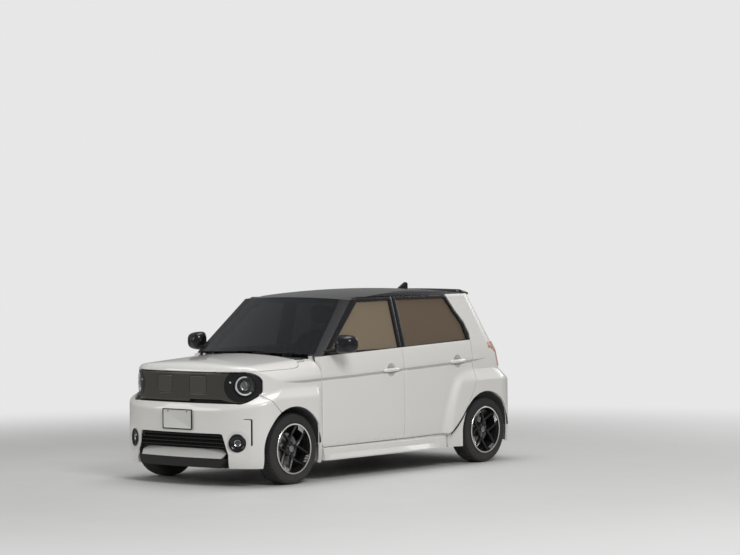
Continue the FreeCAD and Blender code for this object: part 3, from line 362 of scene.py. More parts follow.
def skin(rings, closed=False, caps=True, ring_closed=True):
    """Quads between rings of equal count."""
    count = len(rings[0])
    points = [p for ring in rings for p in ring]
    faces = []
    last = len(rings) if closed else len(rings) - 1
    around = count if ring_closed else count - 1
    for i in range(last):
        a = i * count
        b = ((i + 1) % len(rings)) * count
        for j in range(around):
            k = (j + 1) % count
            faces.append((a + j, a + k, b + k, b + j))
    if caps and not closed:
        faces.append(tuple(range(count - 1, -1, -1)))
        faces.append(tuple(range(len(points) - count, len(points))))
    return points, faces


def lathe(profile, count=64, closed=True, first=0, sweep=360):
    """Turns a profile of (radius, place along Y) about the Y axis."""
    whole = sweep >= 360
    rings = []
    for i in range(count if whole else count + 1):
        a = math.radians(first + sweep * i / count)
        rings.append([(-r * math.cos(a), y, r * math.sin(a)) for r, y in profile])
    return skin(rings, closed=whole, caps=not whole and closed, ring_closed=closed)


def block(x0, x1, y0, y1, z0, z1):
    points = [(x, y, z) for x in (x0, x1) for y in (y0, y1) for z in (z0, z1)]
    faces = [(0, 1, 3, 2), (4, 6, 7, 5), (0, 4, 5, 1), (2, 3, 7, 6), (0, 2, 6, 4), (1, 5, 7, 3)]
    return points, faces


def softened(part, radius, steps=2):
    """A part with its sharp edges rounded."""
    mesh = mesh_of("tmp", *part)
    bm = opened(mesh)
    bpy.data.meshes.remove(mesh)
    sharp = [e for e in bm.edges if len(e.link_faces) == 2 and e.calc_face_angle(0) > 0.5]
    bmesh.ops.bevel(bm, geom=sharp, offset=radius * 0.001, segments=steps, profile=0.5, affect="EDGES")
    return part_of(bm)


def along(path):
    """Each point of a path with the way the path runs there."""
    for i, p in enumerate(path):
        yield p, (Vector(path[min(i + 1, len(path) - 1)]) - Vector(path[max(i - 1, 0)])).normalized()


def bar(path, widths, tops, depth, chamfer=0.28):
    """A spoke-like bar in the wheel's plane. The path holds (x, z), the tops are places along Y."""
    rings = []
    for ((x, z), run), width, top in zip(along(path), widths, tops):
        w = width / 2
        low = top - w * 0.8
        section = ((-1, top - depth), (-1, low), (-chamfer, top), (chamfer, top), (1, low), (1, top - depth))
        rings.append([(x + run.y * w * side, y, z - run.x * w * side) for side, y in section])
    return skin(rings)


def polar(r, degrees):
    a = math.radians(degrees)
    return -r * math.cos(a), r * math.sin(a)


def tube(path, r, count=12):
    """A round rod along a path of points."""
    rings = []
    for p, run in along(path):
        side = run.cross(Vector((0, 0, 1)))
        if side.length < 1e-3:
            side = Vector((0, 1, 0))
        side.normalize()
        up = side.cross(run)
        rings.append([tuple(Vector(p) + (side * math.cos(t) + up * math.sin(t)) * r) for t in turns(count)])
    return skin(rings)


# Repeats, made by geometry nodes.


def copies_tree(name, step, lay_out):
    """A tree that sets copies of a mesh on points, which lay_out makes of the count and the step."""
    tree, given, out = new_group(name, "GeometryNodeTree", (("Part", "Geometry"), ("Count", "Int"), step),
                                 (("Copies", "Geometry"),))
    copies = node(tree, "GeometryNodeInstanceOnPoints", {"Instance": given["Part"], **lay_out(tree, given)})
    real = node(tree, "GeometryNodeRealizeInstances", {0: copies.outputs["Instances"]})
    feed(tree, out, {"Copies": real.outputs[0]})


def in_a_ring(tree, given):
    """Points at the wheel's middle, each with its turn about the Y axis."""
    points = node(tree, "GeometryNodePoints", {"Count": given["Count"]})
    index = tree.nodes.new("GeometryNodeInputIndex")
    step = calc(tree, "DIVIDE", 2 * math.pi, given["Count"])
    angle = calc(tree, "MULTIPLY_ADD", index.outputs[0], step, given["First Angle"])
    turn = node(tree, "ShaderNodeCombineXYZ", {"Y": angle})
    return {"Points": points.outputs[0], "Rotation": turn.outputs[0]}


def in_a_row(tree, given):
    line = node(tree, "GeometryNodeMeshLine", {"Count": given["Count"], "Offset": given["Step"]})
    return {"Points": line.outputs[0]}


def repeated(part, tree_name, flip=1, shift=(0, 0, 0), **values):
    """The mesh that a tree makes of a part, moved to its place. Lengths in values are metres."""
    carrier = bpy.data.objects.new("carrier", mesh_of("part", *part))
    bpy.context.scene.collection.objects.link(carrier)
    modifier = carrier.modifiers.new("copies", "NODES")
    modifier.node_group = tree = bpy.data.node_groups[tree_name]
    for item in tree.interface.items_tree:
        key = item.name.replace(" ", "_")
        if item.in_out == "INPUT" and key in values:
            modifier[item.identifier] = values[key]
    seen = bpy.context.evaluated_depsgraph_get()
    result = bpy.data.meshes.new_from_object(carrier.evaluated_get(seen), depsgraph=seen)
    bpy.data.objects.remove(carrier)
    result.transform(Matrix.Translation([c * 0.001 for c in shift]))
    if flip < 0:
        result.transform(Matrix.Scale(-1, 4, Vector((0, 1, 0))))
    return result


# Wheels.


TYRE_R = 288
SPOKES = 4
WHEEL_TURN = {"front": 14.5, "rear": -13.5}
WHEEL_CODES = {("front", "left"): "wheel_fl", ("front", "right"): "wheel_fr",
               ("rear", "left"): "wheel_rl", ("rear", "right"): "wheel_rr"}


def tyre_part():
    half = [(196, 70), (201, 80), (210, 86), (216, 88.5), (222, 91.5), (236, 92.4), (250, 91.6),
            (253, 92.4), (257, 91.2), (268, 86.5), (276, 80.5), (281, 73), (281.8, 62), (282, 30)]
    return lathe(half + [(r, -y) for r, y in reversed(half)], 96)


def tread_part(depth, count):
    """One pitch of the tread: five blocks across, with the outer ones bending down to the shoulder."""
    half = math.pi / count * 0.86
    parts = []
    for y0, y1, lean, drop in ((-13, 13, 0, 0), (19, 47, 0.35, 0), (-47, -19, 0.35, 0),
                               (53, 82, 0.15, 8), (-82, -53, 0.15, 8)):
        rings = []
        for y in (y0, y1):
            turn = lean * (abs(y) - 19) * 0.004
            top = TYRE_R - (drop if abs(y) > 60 else 0)
            base = top - depth * 1000 - 3
            section = ((base, -half), (top, -half * 0.92), (top, half * 0.92), (base, half))
            rings.append([(-r * math.cos(a + turn), y, r * math.sin(a + turn)) for r, a in section])
        parts.append(skin(rings))
    return merge_parts(parts)


def rim_parts(edge):
    """Barrel and bright edge of a rim, in the wheel's own frame with its outer side at +Y."""
    lip = 206
    barrel = [(200, 92), (lip - edge, 92.5), (lip - edge - 2, 84), (188, 74), (182, 60), (176, 20),
              (178, -60), (190, -78), (204, -82), (205, -88), (208, -88), (200, -70),
              (194, 0), (196, 84)]
    bright = [(lip, 84), (lip, 94), (lip - 2, 96), (lip - edge + 1, 94.5), (lip - edge, 91),
              (lip - edge, 84)]
    return lathe(barrel, 96), lathe(bright, 96)


def spoke_part(width):
    """One forked spoke, pointing along the wheel's zero angle."""
    parts = [bar([polar(r, 0) for r in (22, 55, 84)], [30, 25, 24], [60, 64, 67], 34)]
    for side in (-1, 1):
        path = [polar(r, a * side) for r, a in ((66, 0), (88, 6.5), (130, 19), (188, 28.5))]
        parts.append(bar(path, [width * k for k in (0.9, 1, 0.92, 1.15)], [65, 68.5, 75, 86], 30))
    return merge_parts(parts)


def hatch_part():
    """Five short bright bars that stand in the mouth between two spokes."""
    return merge_parts([bar([polar(163, a - 3), polar(194, a + 3)], [5.5, 6.5], [84, 91], 5, 0.5)
                        for a in (-9.2, -4.6, 0, 4.6, 9.2)])


def hub_part():
    profile = [(0.01, 66), (12, 66), (24, 64.5), (27, 62), (28, 58), (44, 56), (58, 50),
               (62, 30), (62, 12), (0.01, 12)]
    return lathe(profile, 48, closed=False)


def cap_part():
    return lathe([(0.01, 70), (14, 69.5), (22, 68), (26, 65), (27, 60), (0.01, 60)], 48, closed=False)


def nut_part():
    """One wheel nut with a rounded head, on the nuts' circle."""
    return skin([[(-44 + r * math.cos(a), y, r * math.sin(a)) for a in turns(6)]
                 for r, y in ((9.5, 44), (9.5, 58), (8, 62), (4, 63.5))])


def brake_parts():
    disc = lathe([(62, 4), (66, 6), (124, 6), (126, 4), (126, -4), (124, -6), (66, -6),
                  (62, -4)], 72)
    hat = lathe([(0.01, 24), (54, 24), (58, 20), (62, 0), (58, -6), (0.01, -6)], 48, closed=False)
    return merge_parts([disc, hat])


def caliper_part():
    profile = [(84, 20), (92, 30), (128, 32), (140, 26), (143, 10), (143, -16), (134, -26),
               (90, -26), (84, -16)]
    return lathe(profile, 10, first=160, sweep=44)


def wheels():
    """Each wheel: its end and side, its name, its body, which side it is on and its middle on the left side."""
    for (end, side), body in WHEEL_CODES.items():
        yield end, side, end + "_" + side, body, dict(SIDES)[side], (AXLE_X[end], WHEEL_Y, HUB_Z)


class CAR_OT_tyres(bpy.types.Operator):
    """Tyres with tread blocks"""
    bl_idname = "car.tyres"
    bl_label = "Tyres"

    def execute(self, context):
        sizes = context.scene.car_sizes
        tread = tread_part(sizes.tread_depth, sizes.tread_rows)
        for _, _, code, body, flip, at in wheels():
            blocks = repeated(tread, "copies in a ring", flip, at, Count=sizes.tread_rows, First_Angle=0.0)
            add_piece("tread_" + code, blocks, body, "tyre rubber", crease=20)
            add_piece("tyre_wall_" + code, moved(tyre_part(), flip, at), body, "tyre rubber",
                      ("tyre_" + code,), crease=40)
        return {"FINISHED"}


class CAR_OT_rims(bpy.types.Operator):
    """Black rims with forked spokes, a bright edge and hatched bars"""
    bl_idname = "car.rims"
    bl_label = "Rims"

    def execute(self, context):
        sizes = context.scene.car_sizes
        barrel, bright = rim_parts(sizes.rim_edge * 1000)
        spoke = spoke_part(sizes.spoke_width * 1000)
        for end, side, code, body, flip, at in wheels():
            turn = math.radians(WHEEL_TURN[end])
            between = turn + math.pi / SPOKES
            holder = "knuckle_" + side if end == "front" else "body"
            for name, part, first, ride, coat, slot, crease in (
                    ("rim_", merge_parts([barrel, hub_part()]), None, body, "rim black", "rim_paint", 35),
                    ("spokes_", spoke, turn, body, "rim black", "rim_paint", 25),
                    ("rim_edge_", bright, None, body, "cut metal", "steel", 30),
                    ("rim_hatch_", hatch_part(), between, body, "cut metal", "steel", 20),
                    ("wheel_nuts_", nut_part(), between, body, "dark steel", "steel", 30),
                    ("rim_cap_", cap_part(), None, body, "satin grey", "steel", 35),
                    ("brake_disc_", brake_parts(), None, body, "cast steel", "steel", 35),
                    ("caliper_", caliper_part(), None, holder, "cast steel", "steel", 35)):
                if first is None:
                    shape = moved(part, flip, at)
                else:
                    shape = repeated(part, "copies in a ring", flip, at, Count=SPOKES, First_Angle=first)
                add_piece(name + code, shape, ride, coat, ("wheel_" + code,) if name == "rim_" else (), crease)
        return {"FINISHED"}


# Lamps, turned pieces about an axis. A lamp is given by a point of its axis, and how far the axis turns outwards.


HEADLAMP = ((1614, 590, 808), 36)
MARKER = ((1689, 500, 836), 23)
FOGLAMP = ((1703, 585, 355), 30)
OPEN = {"closed": False}
HEADLAMP_PIECES = (
    ("bowl", "gloss black", "lamp_dark", 72, OPEN,
     ((88, -60), (88, 10), (86, 13), (82, 12), (80, 6), (78, -14), (60, -22),
      (46, -26), (40, -34), (0.01, -40))),
    ("ring", "light guide", "lamp_dark", 60, {"first": 76, "sweep": 238},
     ((77, -12), (77, 3), (74, 6), (67, 4), (64, -4), (64, -12))),
    ("eye", "lamp lens", "lamp_dark", 48, OPEN,
     ((0.01, -2), (12, -3), (21, -7), (27, -13), (30, -21), (30, -30), (0.01, -34))),
    ("collar", "bright chrome", "lamp_dark", 48, {},
     ((31, -30), (31, -14), (34, -12), (38, -16), (42, -26), (42, -34))),
    ("cover", "clear plastic", "clear_glass", 60, OPEN,
     ((0.01, 21), (30, 20), (58, 17), (78, 13), (84, 11), (84, 8), (78, 10),
      (58, 14), (30, 17), (0.01, 18))))
MARKER_PIECES = (
    ("marker", "light guide", "lamp_dark", 20, OPEN, ((0.01, 3), (6, 2.5), (8, 0), (8, -6), (0.01, -6))),)
FOGLAMP_PIECES = (
    ("bowl", "gloss black", "lamp_dark", 60, OPEN,
     ((72, -60), (72, 2), (69, 4), (64, 2), (60, -8), (40, -20), (30, -22),
      (0.01, -24))),
    ("collar", "bright chrome", "lamp_dark", 40, {},
     ((24, -24), (24, -12), (27, -10), (31, -14), (34, -24))),
    ("eye", "lamp lens", "lamp_dark", 40, OPEN,
     ((0.01, -8), (10, -9), (19, -13), (23, -20), (0.01, -24))))


def lamp_across(turn):
    return Vector((-math.sin(math.radians(turn)), math.cos(math.radians(turn)), 0))


def add_lamp(kind, side, flip, lamp, rows, old=None):
    """Adds a lamp's pieces. The left bowl stands for both of the frame's lamps."""
    centre, turn = lamp
    across = lamp_across(turn)
    ahead = Vector((across.y, -across.x, 0))
    for name, coat, slot, count, turning, profile in rows:
        points, faces = lathe(profile, count, **turning)
        spots = [Vector(centre) - across * x + ahead * y + Vector((0, 0, z)) for x, y, z in points]
        add_piece(kind + name + "_" + side, moved(([tuple(p) for p in spots], faces), flip), "body", coat,
                  (old,) if old and (name, side) == ("bowl", "left") else ())


class CAR_OT_headlamps(bpy.types.Operator):
    """Round headlamps: bezel, bright C-shaped ring, lens and clear cover"""
    bl_idname = "car.headlamps"
    bl_label = "Headlamps"

    def execute(self, context):
        for side, flip in SIDES:
            add_lamp("headlamp_", side, flip, HEADLAMP, HEADLAMP_PIECES, "headlamps")
            add_lamp("headlamp_", side, flip, MARKER, MARKER_PIECES)
        return {"FINISHED"}


class CAR_OT_foglamps(bpy.types.Operator):
    """Round fog lamps low in the bumper"""
    bl_idname = "car.foglamps"
    bl_label = "Fog lamps"

    def execute(self, context):
        for side, flip in SIDES:
            add_lamp("foglamp_", side, flip, FOGLAMP, FOGLAMP_PIECES, "fog_lamps")
        return {"FINISHED"}


# Body panels. Each is a curved surface, cut by outlines in its own flat coordinates.


def arc(a, b, c, count=10):
    """Points of the round that runs through three points, its first point left out."""
    ax, ay = a
    bx, by = b
    cx, cy = c
    d = 2 * (ax * (by - cy) + bx * (cy - ay) + cx * (ay - by))
    ux = ((ax * ax + ay * ay) * (by - cy) + (bx * bx + by * by) * (cy - ay) + (cx * cx + cy * cy) * (ay - by)) / d
    uy = ((ax * ax + ay * ay) * (cx - bx) + (bx * bx + by * by) * (ax - cx) + (cx * cx + cy * cy) * (bx - ax)) / d
    r = math.hypot(ax - ux, ay - uy)
    turn = 1 if (bx - ax) * (cy - ay) - (by - ay) * (cx - ax) > 0 else -1
    first = math.atan2(ay - uy, ax - ux)
    sweep = ((math.atan2(cy - uy, cx - ux) - first) * turn) % (2 * math.pi) * turn
    return [(ux + r * math.cos(first + sweep * i / count), uy + r * math.sin(first + sweep * i / count))
            for i in range(1, count + 1)]


def round_run(centre, r, first, last, step=9):
    count = max(2, math.ceil(abs(math.radians(last - first)) * r / step))
    return [(centre[0] + r * math.cos(math.radians(first + (last - first) * i / count)),
             centre[1] + r * math.sin(math.radians(first + (last - first) * i / count))) for i in range(count + 1)]


def spread(points, step, closed=True):
    """The same run with its points no further apart than a step, and none nearly on another."""
    out = []
    ends = points + points[:1] if closed else points
    for a, b in zip(ends, ends[1:]):
        count = max(1, math.ceil(math.dist(a, b) / step))
        for i in range(count):
            p = (a[0] + (b[0] - a[0]) * i / count, a[1] + (b[1] - a[1]) * i / count)
            if not out or math.dist(p, out[-1]) > 2.5:
                out.append(p)
    if closed and math.dist(out[0], out[-1]) < 2.5:
        out.pop()
    if not closed:
        out.append(points[-1])
    return out


def cuts(edges, v):
    """Where edges cross a level."""
    return sorted(a[0] + (b[0] - a[0]) * (v - a[1]) / (b[1] - a[1]) for a, b in edges if (a[1] > v) != (b[1] > v))


def within(edges, u, v):
    return sum(1 for cut in cuts(edges, v) if cut < u) % 2 == 1


def filled(outer, holes, step, runs=(), hole_step=5):
    """Triangles that fill an outline with holes, on an even grid. Creases of the surface are given as open runs."""
    points = []
    edges = []
    for loop in [spread(outer, step)] + [spread(hole, hole_step) for hole in holes]:
        start = len(points)
        points += loop
        edges += [(start + i, start + (i + 1) % len(loop)) for i in range(len(loop))]
    rim = [(points[i], points[j]) for i, j in edges]
    for run in runs:
        start = len(points)
        points += spread(run, step, False)
        edges += [(i, i + 1) for i in range(start, len(points) - 1)]
    near = KDTree(len(points))
    for i, (u, v) in enumerate(points):
        near.insert((u, v, 0), i)
    near.balance()
    low = min(v for u, v in points)
    rows = math.floor((max(v for u, v in points) - low) / step)
    for k in range(1, rows + 1):
        v = low + k * step + 0.013
        row = cuts(rim, v)
        for left, right in zip(row[::2], row[1::2]):
            for i in range(math.ceil(left / step), math.floor(right / step) + 1):
                if near.find((i * step, v, 0))[2] > 0.6 * step:
                    points.append((i * step, v))
    flat, _, faces, *_ = delaunay_2d_cdt([Vector(p) for p in points], edges, [], 0, 1e-4)
    middles = [(face, [sum(flat[i][k] for i in face) / 3 for k in (0, 1)]) for face in faces]
    return [tuple(p) for p in flat], [tuple(face) for face, (u, v) in middles if within(rim, u, v)]


def panel(outer, holes, place, thick, step=12, edge=1.8, outward=(0, 0, 1), runs=(), inner=None):
    """A wall under a curved surface. place turns flat coordinates into a point of the car, inner does for its back."""
    flat, faces = filled(outer, holes, step, runs)
    mesh = mesh_of("tmp", [place(u, v) for u, v in flat], faces)
    bm = bmesh.new()
    bm.from_mesh(mesh)
    bpy.data.meshes.remove(mesh)
    bmesh.ops.recalc_face_normals(bm, faces=bm.faces)
    bm.normal_update()
    total = sum((face.normal * face.calc_area() for face in bm.faces), Vector())
    if total.dot(Vector(outward)) < 0:
        bmesh.ops.reverse_faces(bm, faces=bm.faces)
        bm.normal_update()
    skins = list(bm.faces)
    backs = {}
    for v, (a, b) in zip(list(bm.verts), flat):
        backs[v] = bm.verts.new([c * 0.001 for c in inner(a, b)] if inner else v.co - v.normal * thick * 0.001)
    rims = [e for e in bm.edges if len(e.link_faces) == 1]
    for face in skins:
        bm.faces.new([backs[v] for v in reversed(face.verts)])
    for e in rims:
        a, b = e.link_loops[0].vert, e.link_loops[0].link_loop_next.vert
        bm.faces.new((b, a, backs[a], backs[b]))
    bmesh.ops.delete(bm, geom=[v for v in bm.verts if not v.link_faces], context="VERTS")
    if edge:
        bmesh.ops.bevel(bm, geom=rims, offset=edge * 0.001, segments=2, profile=0.5, affect="EDGES")
    return part_of(bm)


def soft_ramp(w, soft=0.12):
    """0 below 0 and 1 above 1, with rounded turns."""
    def rise(q):
        return 0.5 * (q + math.sqrt(q * q + soft * soft))
    return rise(w) - rise(w - 1)


def smooth(w):
    w = min(max(w, 0), 1)
    return w * w * (3 - 2 * w)


def mix(a, b, share):
    return a + (b - a) * share


def crossing(gap, low, high):
    """Where a measure that falls from low to high passes zero."""
    for _ in range(30):
        mid = 0.5 * (low + high)
        if gap(mid) > 0:
            low = mid
        else:
            high = mid
    return 0.5 * (low + high)


# The nose: u runs from the middle round a front corner and back along the side.


FRONT_U = 440
SIDE_U = 920
LAST_U = 1536
LINE_KINK = (400, 852)
LINE_TALL = 20
SHOULDER_Z = 782
SHOULDER_TALL = 77
FOG_DISH_R = 102
CHIN_Z = 230
HOOD_EDGE_Z = 919
LINE_FOOT = 1.25
FRONT_ARCH = ((AXLE_X["front"], HUB_Z), ARCH_R)
REAR_ARCH = ((AXLE_X["rear"], HUB_Z), ARCH_R)


def nose_upper(u):
    if u < FRONT_U:
        y = u / FRONT_U * 394
        return 1745 - y * y / 5520, y
    if u < SIDE_U:
        a = math.radians(6.9 + (u - FRONT_U) / (SIDE_U - FRONT_U) * 83.1)
        return 1330 + 390 * math.cos(a), 347 + 390 * math.sin(a)
    return 1330 - (u - SIDE_U) / (LAST_U - SIDE_U) * 476, 737


def nose_lower(u):
    if u < FRONT_U:
        return 1782 - 33 * (u / 454) ** 2, u
    if u < SIDE_U:
        f = (u - FRONT_U) / (SIDE_U - FRONT_U)
        shares = ((1 - f) ** 3, 3 * f * (1 - f) ** 2, 3 * f * f * (1 - f), f ** 3)
        steps = ((1751, 440), (1722, 610), (1630, 787), (1470, 787))
        return tuple(sum(s * p[k] for s, p in zip(shares, steps)) for k in (0, 1))
    x = 1470 - (u - SIDE_U)
    return x, 735 + 52 * smooth((x - 862) / 85)


NOSE_PLAN = [nose_upper(4 * i) for i in range(385)]
NOSE_TREE = KDTree(len(NOSE_PLAN))
for plan_index, plan_point in enumerate(NOSE_PLAN):
    NOSE_TREE.insert((*plan_point, 0), plan_index)
NOSE_TREE.balance()


def line_z(x):
    """Height of the character line's sharp upper edge."""
    kink_x, kink_z = LINE_KINK
    return kink_z + (kink_x - x) * (0.0251 if x > kink_x else 0.0384)


def line_tall(x):
    """How tall the character line's hollow is, with a point at either end."""
    return LINE_TALL * smooth((1362 - x) / 330) * smooth((x + 1378) / 240)


def line_runs(low, high, step=24):
    """The three creases of the character line between two places along the car."""
    count = max(2, math.ceil(abs(high - low) / step))
    spots = [mix(low, high, i / count) for i in range(count + 1)]
    return [[(x, line_z(x) - line_tall(x) * share) for x in spots] for share in (0, 1, LINE_FOOT)]


def line_depth(x, z):
    tall = line_tall(x)
    if tall < 0.3:
        return 0
    t = (line_z(x) - z) / tall
    if t < 0 or t > LINE_FOOT:
        return 0
    deep = 0.75 * tall
    return deep * t if t < 1 else deep * (LINE_FOOT - t) * 4


def nose_inset(x, y):
    """How far a point lies inside the nose's upper plan."""
    here = Vector((x, abs(y)))
    best = 1e9
    index = NOSE_TREE.find((x, abs(y), 0))[1]
    for i in (index - 1, index):
        if 0 <= i < len(NOSE_PLAN) - 1:
            a = Vector(NOSE_PLAN[i])
            run = Vector(NOSE_PLAN[i + 1]) - a
            share = min(max((here - a).dot(run) / run.length_squared, 0), 1)
            best = min(best, (here - a - run * share).length)
    return best


def hood_z(x, y):
    """Height of the hood's surface, with its rounded front and sides."""
    y = abs(y)
    crown = 1027 - 32 * (y / 560) ** 2
    if y > 560:
        crown = 793.3 + math.sqrt(max(202.28 ** 2 - (y - 544.67) ** 2, 0))
    a = crown - (x - 1108) * 0.06204
    b = HOOD_EDGE_Z + 106 * math.sqrt(nose_inset(x, y) / 150)
    return 0.5 * (a + b - math.hypot(a - b, 14))


def inward_at(plan, u):
    """The way into the car from a curve in plan, square to the curve."""
    run = (Vector(plan(u + 2)) - Vector(plan(max(u - 2, 0)))).normalized()
    return Vector((-run.y, run.x))


def lamp_side(lamp, x, y):
    """How far a point lies to the side of a lamp's axis."""
    (cx, cy, _), turn = lamp
    a = math.radians(turn)
    return (x - cx) * -math.sin(a) + (y - cy) * math.cos(a)


def front_point(u, z):
    """A point of the front's upright surface: bumper below the shoulder, fender above it."""
    flip = -1 if u < 0 else 1
    u = abs(u)

    def plan(at):
        upper = nose_upper(at)
        lower = nose_lower(at)
        share = soft_ramp((SHOULDER_Z - z - 0.29 * max(0, lower[0] - 1455)) / SHOULDER_TALL)
        return Vector([mix(a, b, share) for a, b in zip(upper, lower)])
    here = plan(u)
    inward = inward_at(plan, u)
    depth = 0
    if z < CHIN_Z:
        depth += 12 * ((CHIN_Z - z) / 80) ** 2
    depth += 8 * smooth((FOG_DISH_R - math.hypot(lamp_side(FOGLAMP, here.x, here.y), z - FOGLAMP[0][2])) / 18)
    if z > 830:
        def short(d):
            return z - hood_z(here.x + inward.x * d, here.y + inward.y * d)
        if short(0) > 0:
            depth += crossing(short, 0, 260)
    if 780 < z < 880:
        depth += line_depth(here.x, z)
    here = here + inward * depth
    return here.x, here.y * flip, z


def plan_u(y):
    return crossing(lambda u: y - nose_upper(u)[1], 0, 900)


def u_at_x(x, z):
    return crossing(lambda u: front_point(u, z)[0] - x, 60, LAST_U)


def u_at_y(y, z):
    return crossing(lambda u: y - front_point(u, z)[1], 0, 900)


def hood_line(x):
    """Height of the seam between hood and fender."""
    steps = ((962, 1100), (990, 1046), (1008, 1012), (1030, 981), (1054, 959), (1084, 943),
             (1120, 934.5), (1180, 931), (1800, 918))
    for (x0, z0), (x1, z1) in zip(steps, steps[1:]):
        if x <= x1:
            return z0 + (z1 - z0) * (x - x0) / (x1 - x0)
    return 918


def mirrored(half):
    return half + [(-u, v) for u, v in reversed(half) if u > 0.5]


def seam_and_arch(points, last):
    """Down the seam between bumper and fender, and on round the wheel's arch."""
    (ax, az), _ = FRONT_ARCH
    start = math.degrees(math.atan2(points[-1][1] - az, points[-1][0] - ax))
    run = spread(points, 9, False) + round_run(*FRONT_ARCH, start, last)[1:]
    return [(u_at_x(x, z), z) for x, z in run]


def bumper_outline():
    grille = [(0, 666), (300, 666), (560, 666)] + arc((560, 666), (652, 688), (684, 738))
    half = [(u_at_y(y, z), z) for y, z in spread(grille, 12, False)]
    half += seam_and_arch([(1600, 738), (1542, 738), (1511, 694), (1397, 589)], 0)
    half += [(u_at_x(1574, z), z) for z in (260, 230, 200, 175, 150)]
    half += [(u_at_y(y, z), z) for y, z in ((600, 150), (513, 150), (513, 262), (460, 420),
                                            (440, 426), (0, 426))]
    return mirrored(half)


def lamp_hole(place, lamp, r, flip):
    """A round hole about a lamp's axis, in the flat coordinates of a surface."""
    hole = []
    for a in turns(48):
        z = lamp[0][2] + r * math.sin(a)
        side = r * math.cos(a)
        hole.append((crossing(lambda u: side - lamp_side(lamp, *place(u, z)[:2]), 200, 900) * flip, z))
    return hole


def corner_slit(flip):
    u = u_at_y(691, 440)
    steps = ((-5, 332), (9, 340), (9, 547), (-62, 549), (-62, 544), (-5, 540))
    return [((u + d) * flip, z) for d, z in steps]


def fender_outline():
    rear = [(u_at_x(853.5, z), z) for z in (150, 300, 450, 600, 700, 740, 780, 820, 850, 880,
                                            910, 940, 965)]
    top = []
    for x in (853.5, 900, 950, 1000, 1024, 1032, 1050, 1075, 1104, 1150, 1200, 1260, 1320,
              1380, 1430, 1470, 1500, 1530, 1555, 1575):
        z = min(hood_z(x, 640), hood_line(x) - 4)
        top.append((u_at_x(x, z), z))
    grille = ([(608, 915)] + arc((608, 915), (669, 892), (692, 830))
              + [(692, 762), (690, 752), (684, 742)])
    front = [(plan_u(y) if z > 786 else u_at_y(y, z), z) for y, z in spread(grille, 10, False)]
    seam = seam_and_arch([(1600, 742), (1539, 742), (1507, 699), (1393, 594)], 180)
    return rear + top + front + seam + [(u_at_x(888, z), z) for z in (250, 200, 150)]


def hood_outline():
    """In plan: round the nose's edge, back along the fender seam and across the cowl."""
    half = []
    for i in range(60):
        u = SIDE_U * i / 59
        at = Vector(nose_upper(u))
        inward = inward_at(nose_upper, u)

        def short(d):
            p = at + inward * d
            return hood_line(p.x) + 1.5 - hood_z(p.x, p.y)
        p = at + inward * crossing(short, 0, 200)
        half.append((p.x, p.y))
    for x in (1310, 1280, 1240, 1200, 1150, 1104, 1080, 1050, 1030, 1020, 1012, 1006, 1003,
              1001.5):
        half.append((x, crossing(lambda y: hood_z(x, y) - hood_line(x), 0, 737)))
    whole = [(x, y) for x, y in half if y > 0.5]
    return whole + [(x, -y) for x, y in reversed(whole)]


def grille_point(u, z):
    x, y = nose_upper(abs(u))
    return x, math.copysign(y, u), z


def grille_shade_backing(u, z):
    """A point of the dark wall behind the front panel, which paints the shadow seen in the gaps round the panel."""
    x, y = nose_upper(abs(u))
    a = nose_upper(abs(u) + 2)
    run = Vector((a[0] - x, a[1] - y)).normalized()
    x, y = x - run.y * 34, y + run.x * 34
    return x, math.copysign(max(y, 0), u), z


def grille_half(side, bottom):
    """Half of the front panel's outline, from the middle of its lower edge to the middle of its top."""
    run = bottom + arc(bottom[-1], (650, 694), (680, 742)) + [(686, 762), (687, 830)]
    run += arc((687, 830), (665, 888), (606, 909)) + [(0, 909)]
    return [(plan_u(y) * side, z) for y, z in spread(run, 12, False)]


def rounded_square(u0, u1, v0, v1, r, steps=6):
    run = []
    for cu, cv, a0 in ((u1 - r, v1 - r, 0), (u0 + r, v1 - r, 90), (u0 + r, v0 + r, 180), (u1 - r, v0 + r, 270)):
        for i in range(steps + 1):
            a = math.radians(a0 + 90 * i / steps)
            run.append((cu + r * math.cos(a), cv + r * math.sin(a)))
    return run


def lid_run(flip, shrink):
    """A charge lid's outline in the front panel's flat coordinates."""
    scale = FRONT_U / 394
    run = rounded_square(98 + shrink, 278 - shrink, 742 + shrink, 889 - shrink * 1.6, 27 - shrink)
    return [(y * scale * flip, z) for y, z in run]

class CAR_OT_front_panel(bpy.types.Operator):
    """Dark front panel between the headlamps, with its two rounded charge lids"""
    bl_idname = "car.front_panel"
    bl_label = "Front panel"

    def execute(self, context):
        left = grille_half(1, [(0, 680), (96, 680), (104, 697), (420, 697), (500, 676),
                                 (560, 672)])
        right = grille_half(-1, [(0, 680), (430, 680), (560, 672)])
        outline = left + list(reversed(right))[1:-1]
        holes = [lid_run(s, 0) for s in FLIPS] + [lamp_hole(grille_point, HEADLAMP, 91, s) for s in FLIPS]
        shape = panel(outline, holes, grille_point, 7, 13, outward=AHEAD)
        add_piece("front_panel", shape, "body", "front panel", ("grille_panel",), crease=40)
        # A black wall behind the panel stands in for the shadow in the gaps round it.
        wall = [(-790, 640), (790, 640), (790, 912), (-790, 912)]
        back = panel(wall, [], grille_shade_backing, 4, 24, edge=0, outward=AHEAD)
        add_piece("front_panel_backing", back, "body", "satin black", crease=40)
        for side, flip in SIDES:
            lid = panel(lid_run(flip, 3), [], grille_point, 6, 12, outward=AHEAD)
            add_piece("charge_lid_skin_" + side, lid, "lid_" + side, "lid panel",
                      ("charge_lid_" + side,), crease=40)
        return {"FINISHED"}


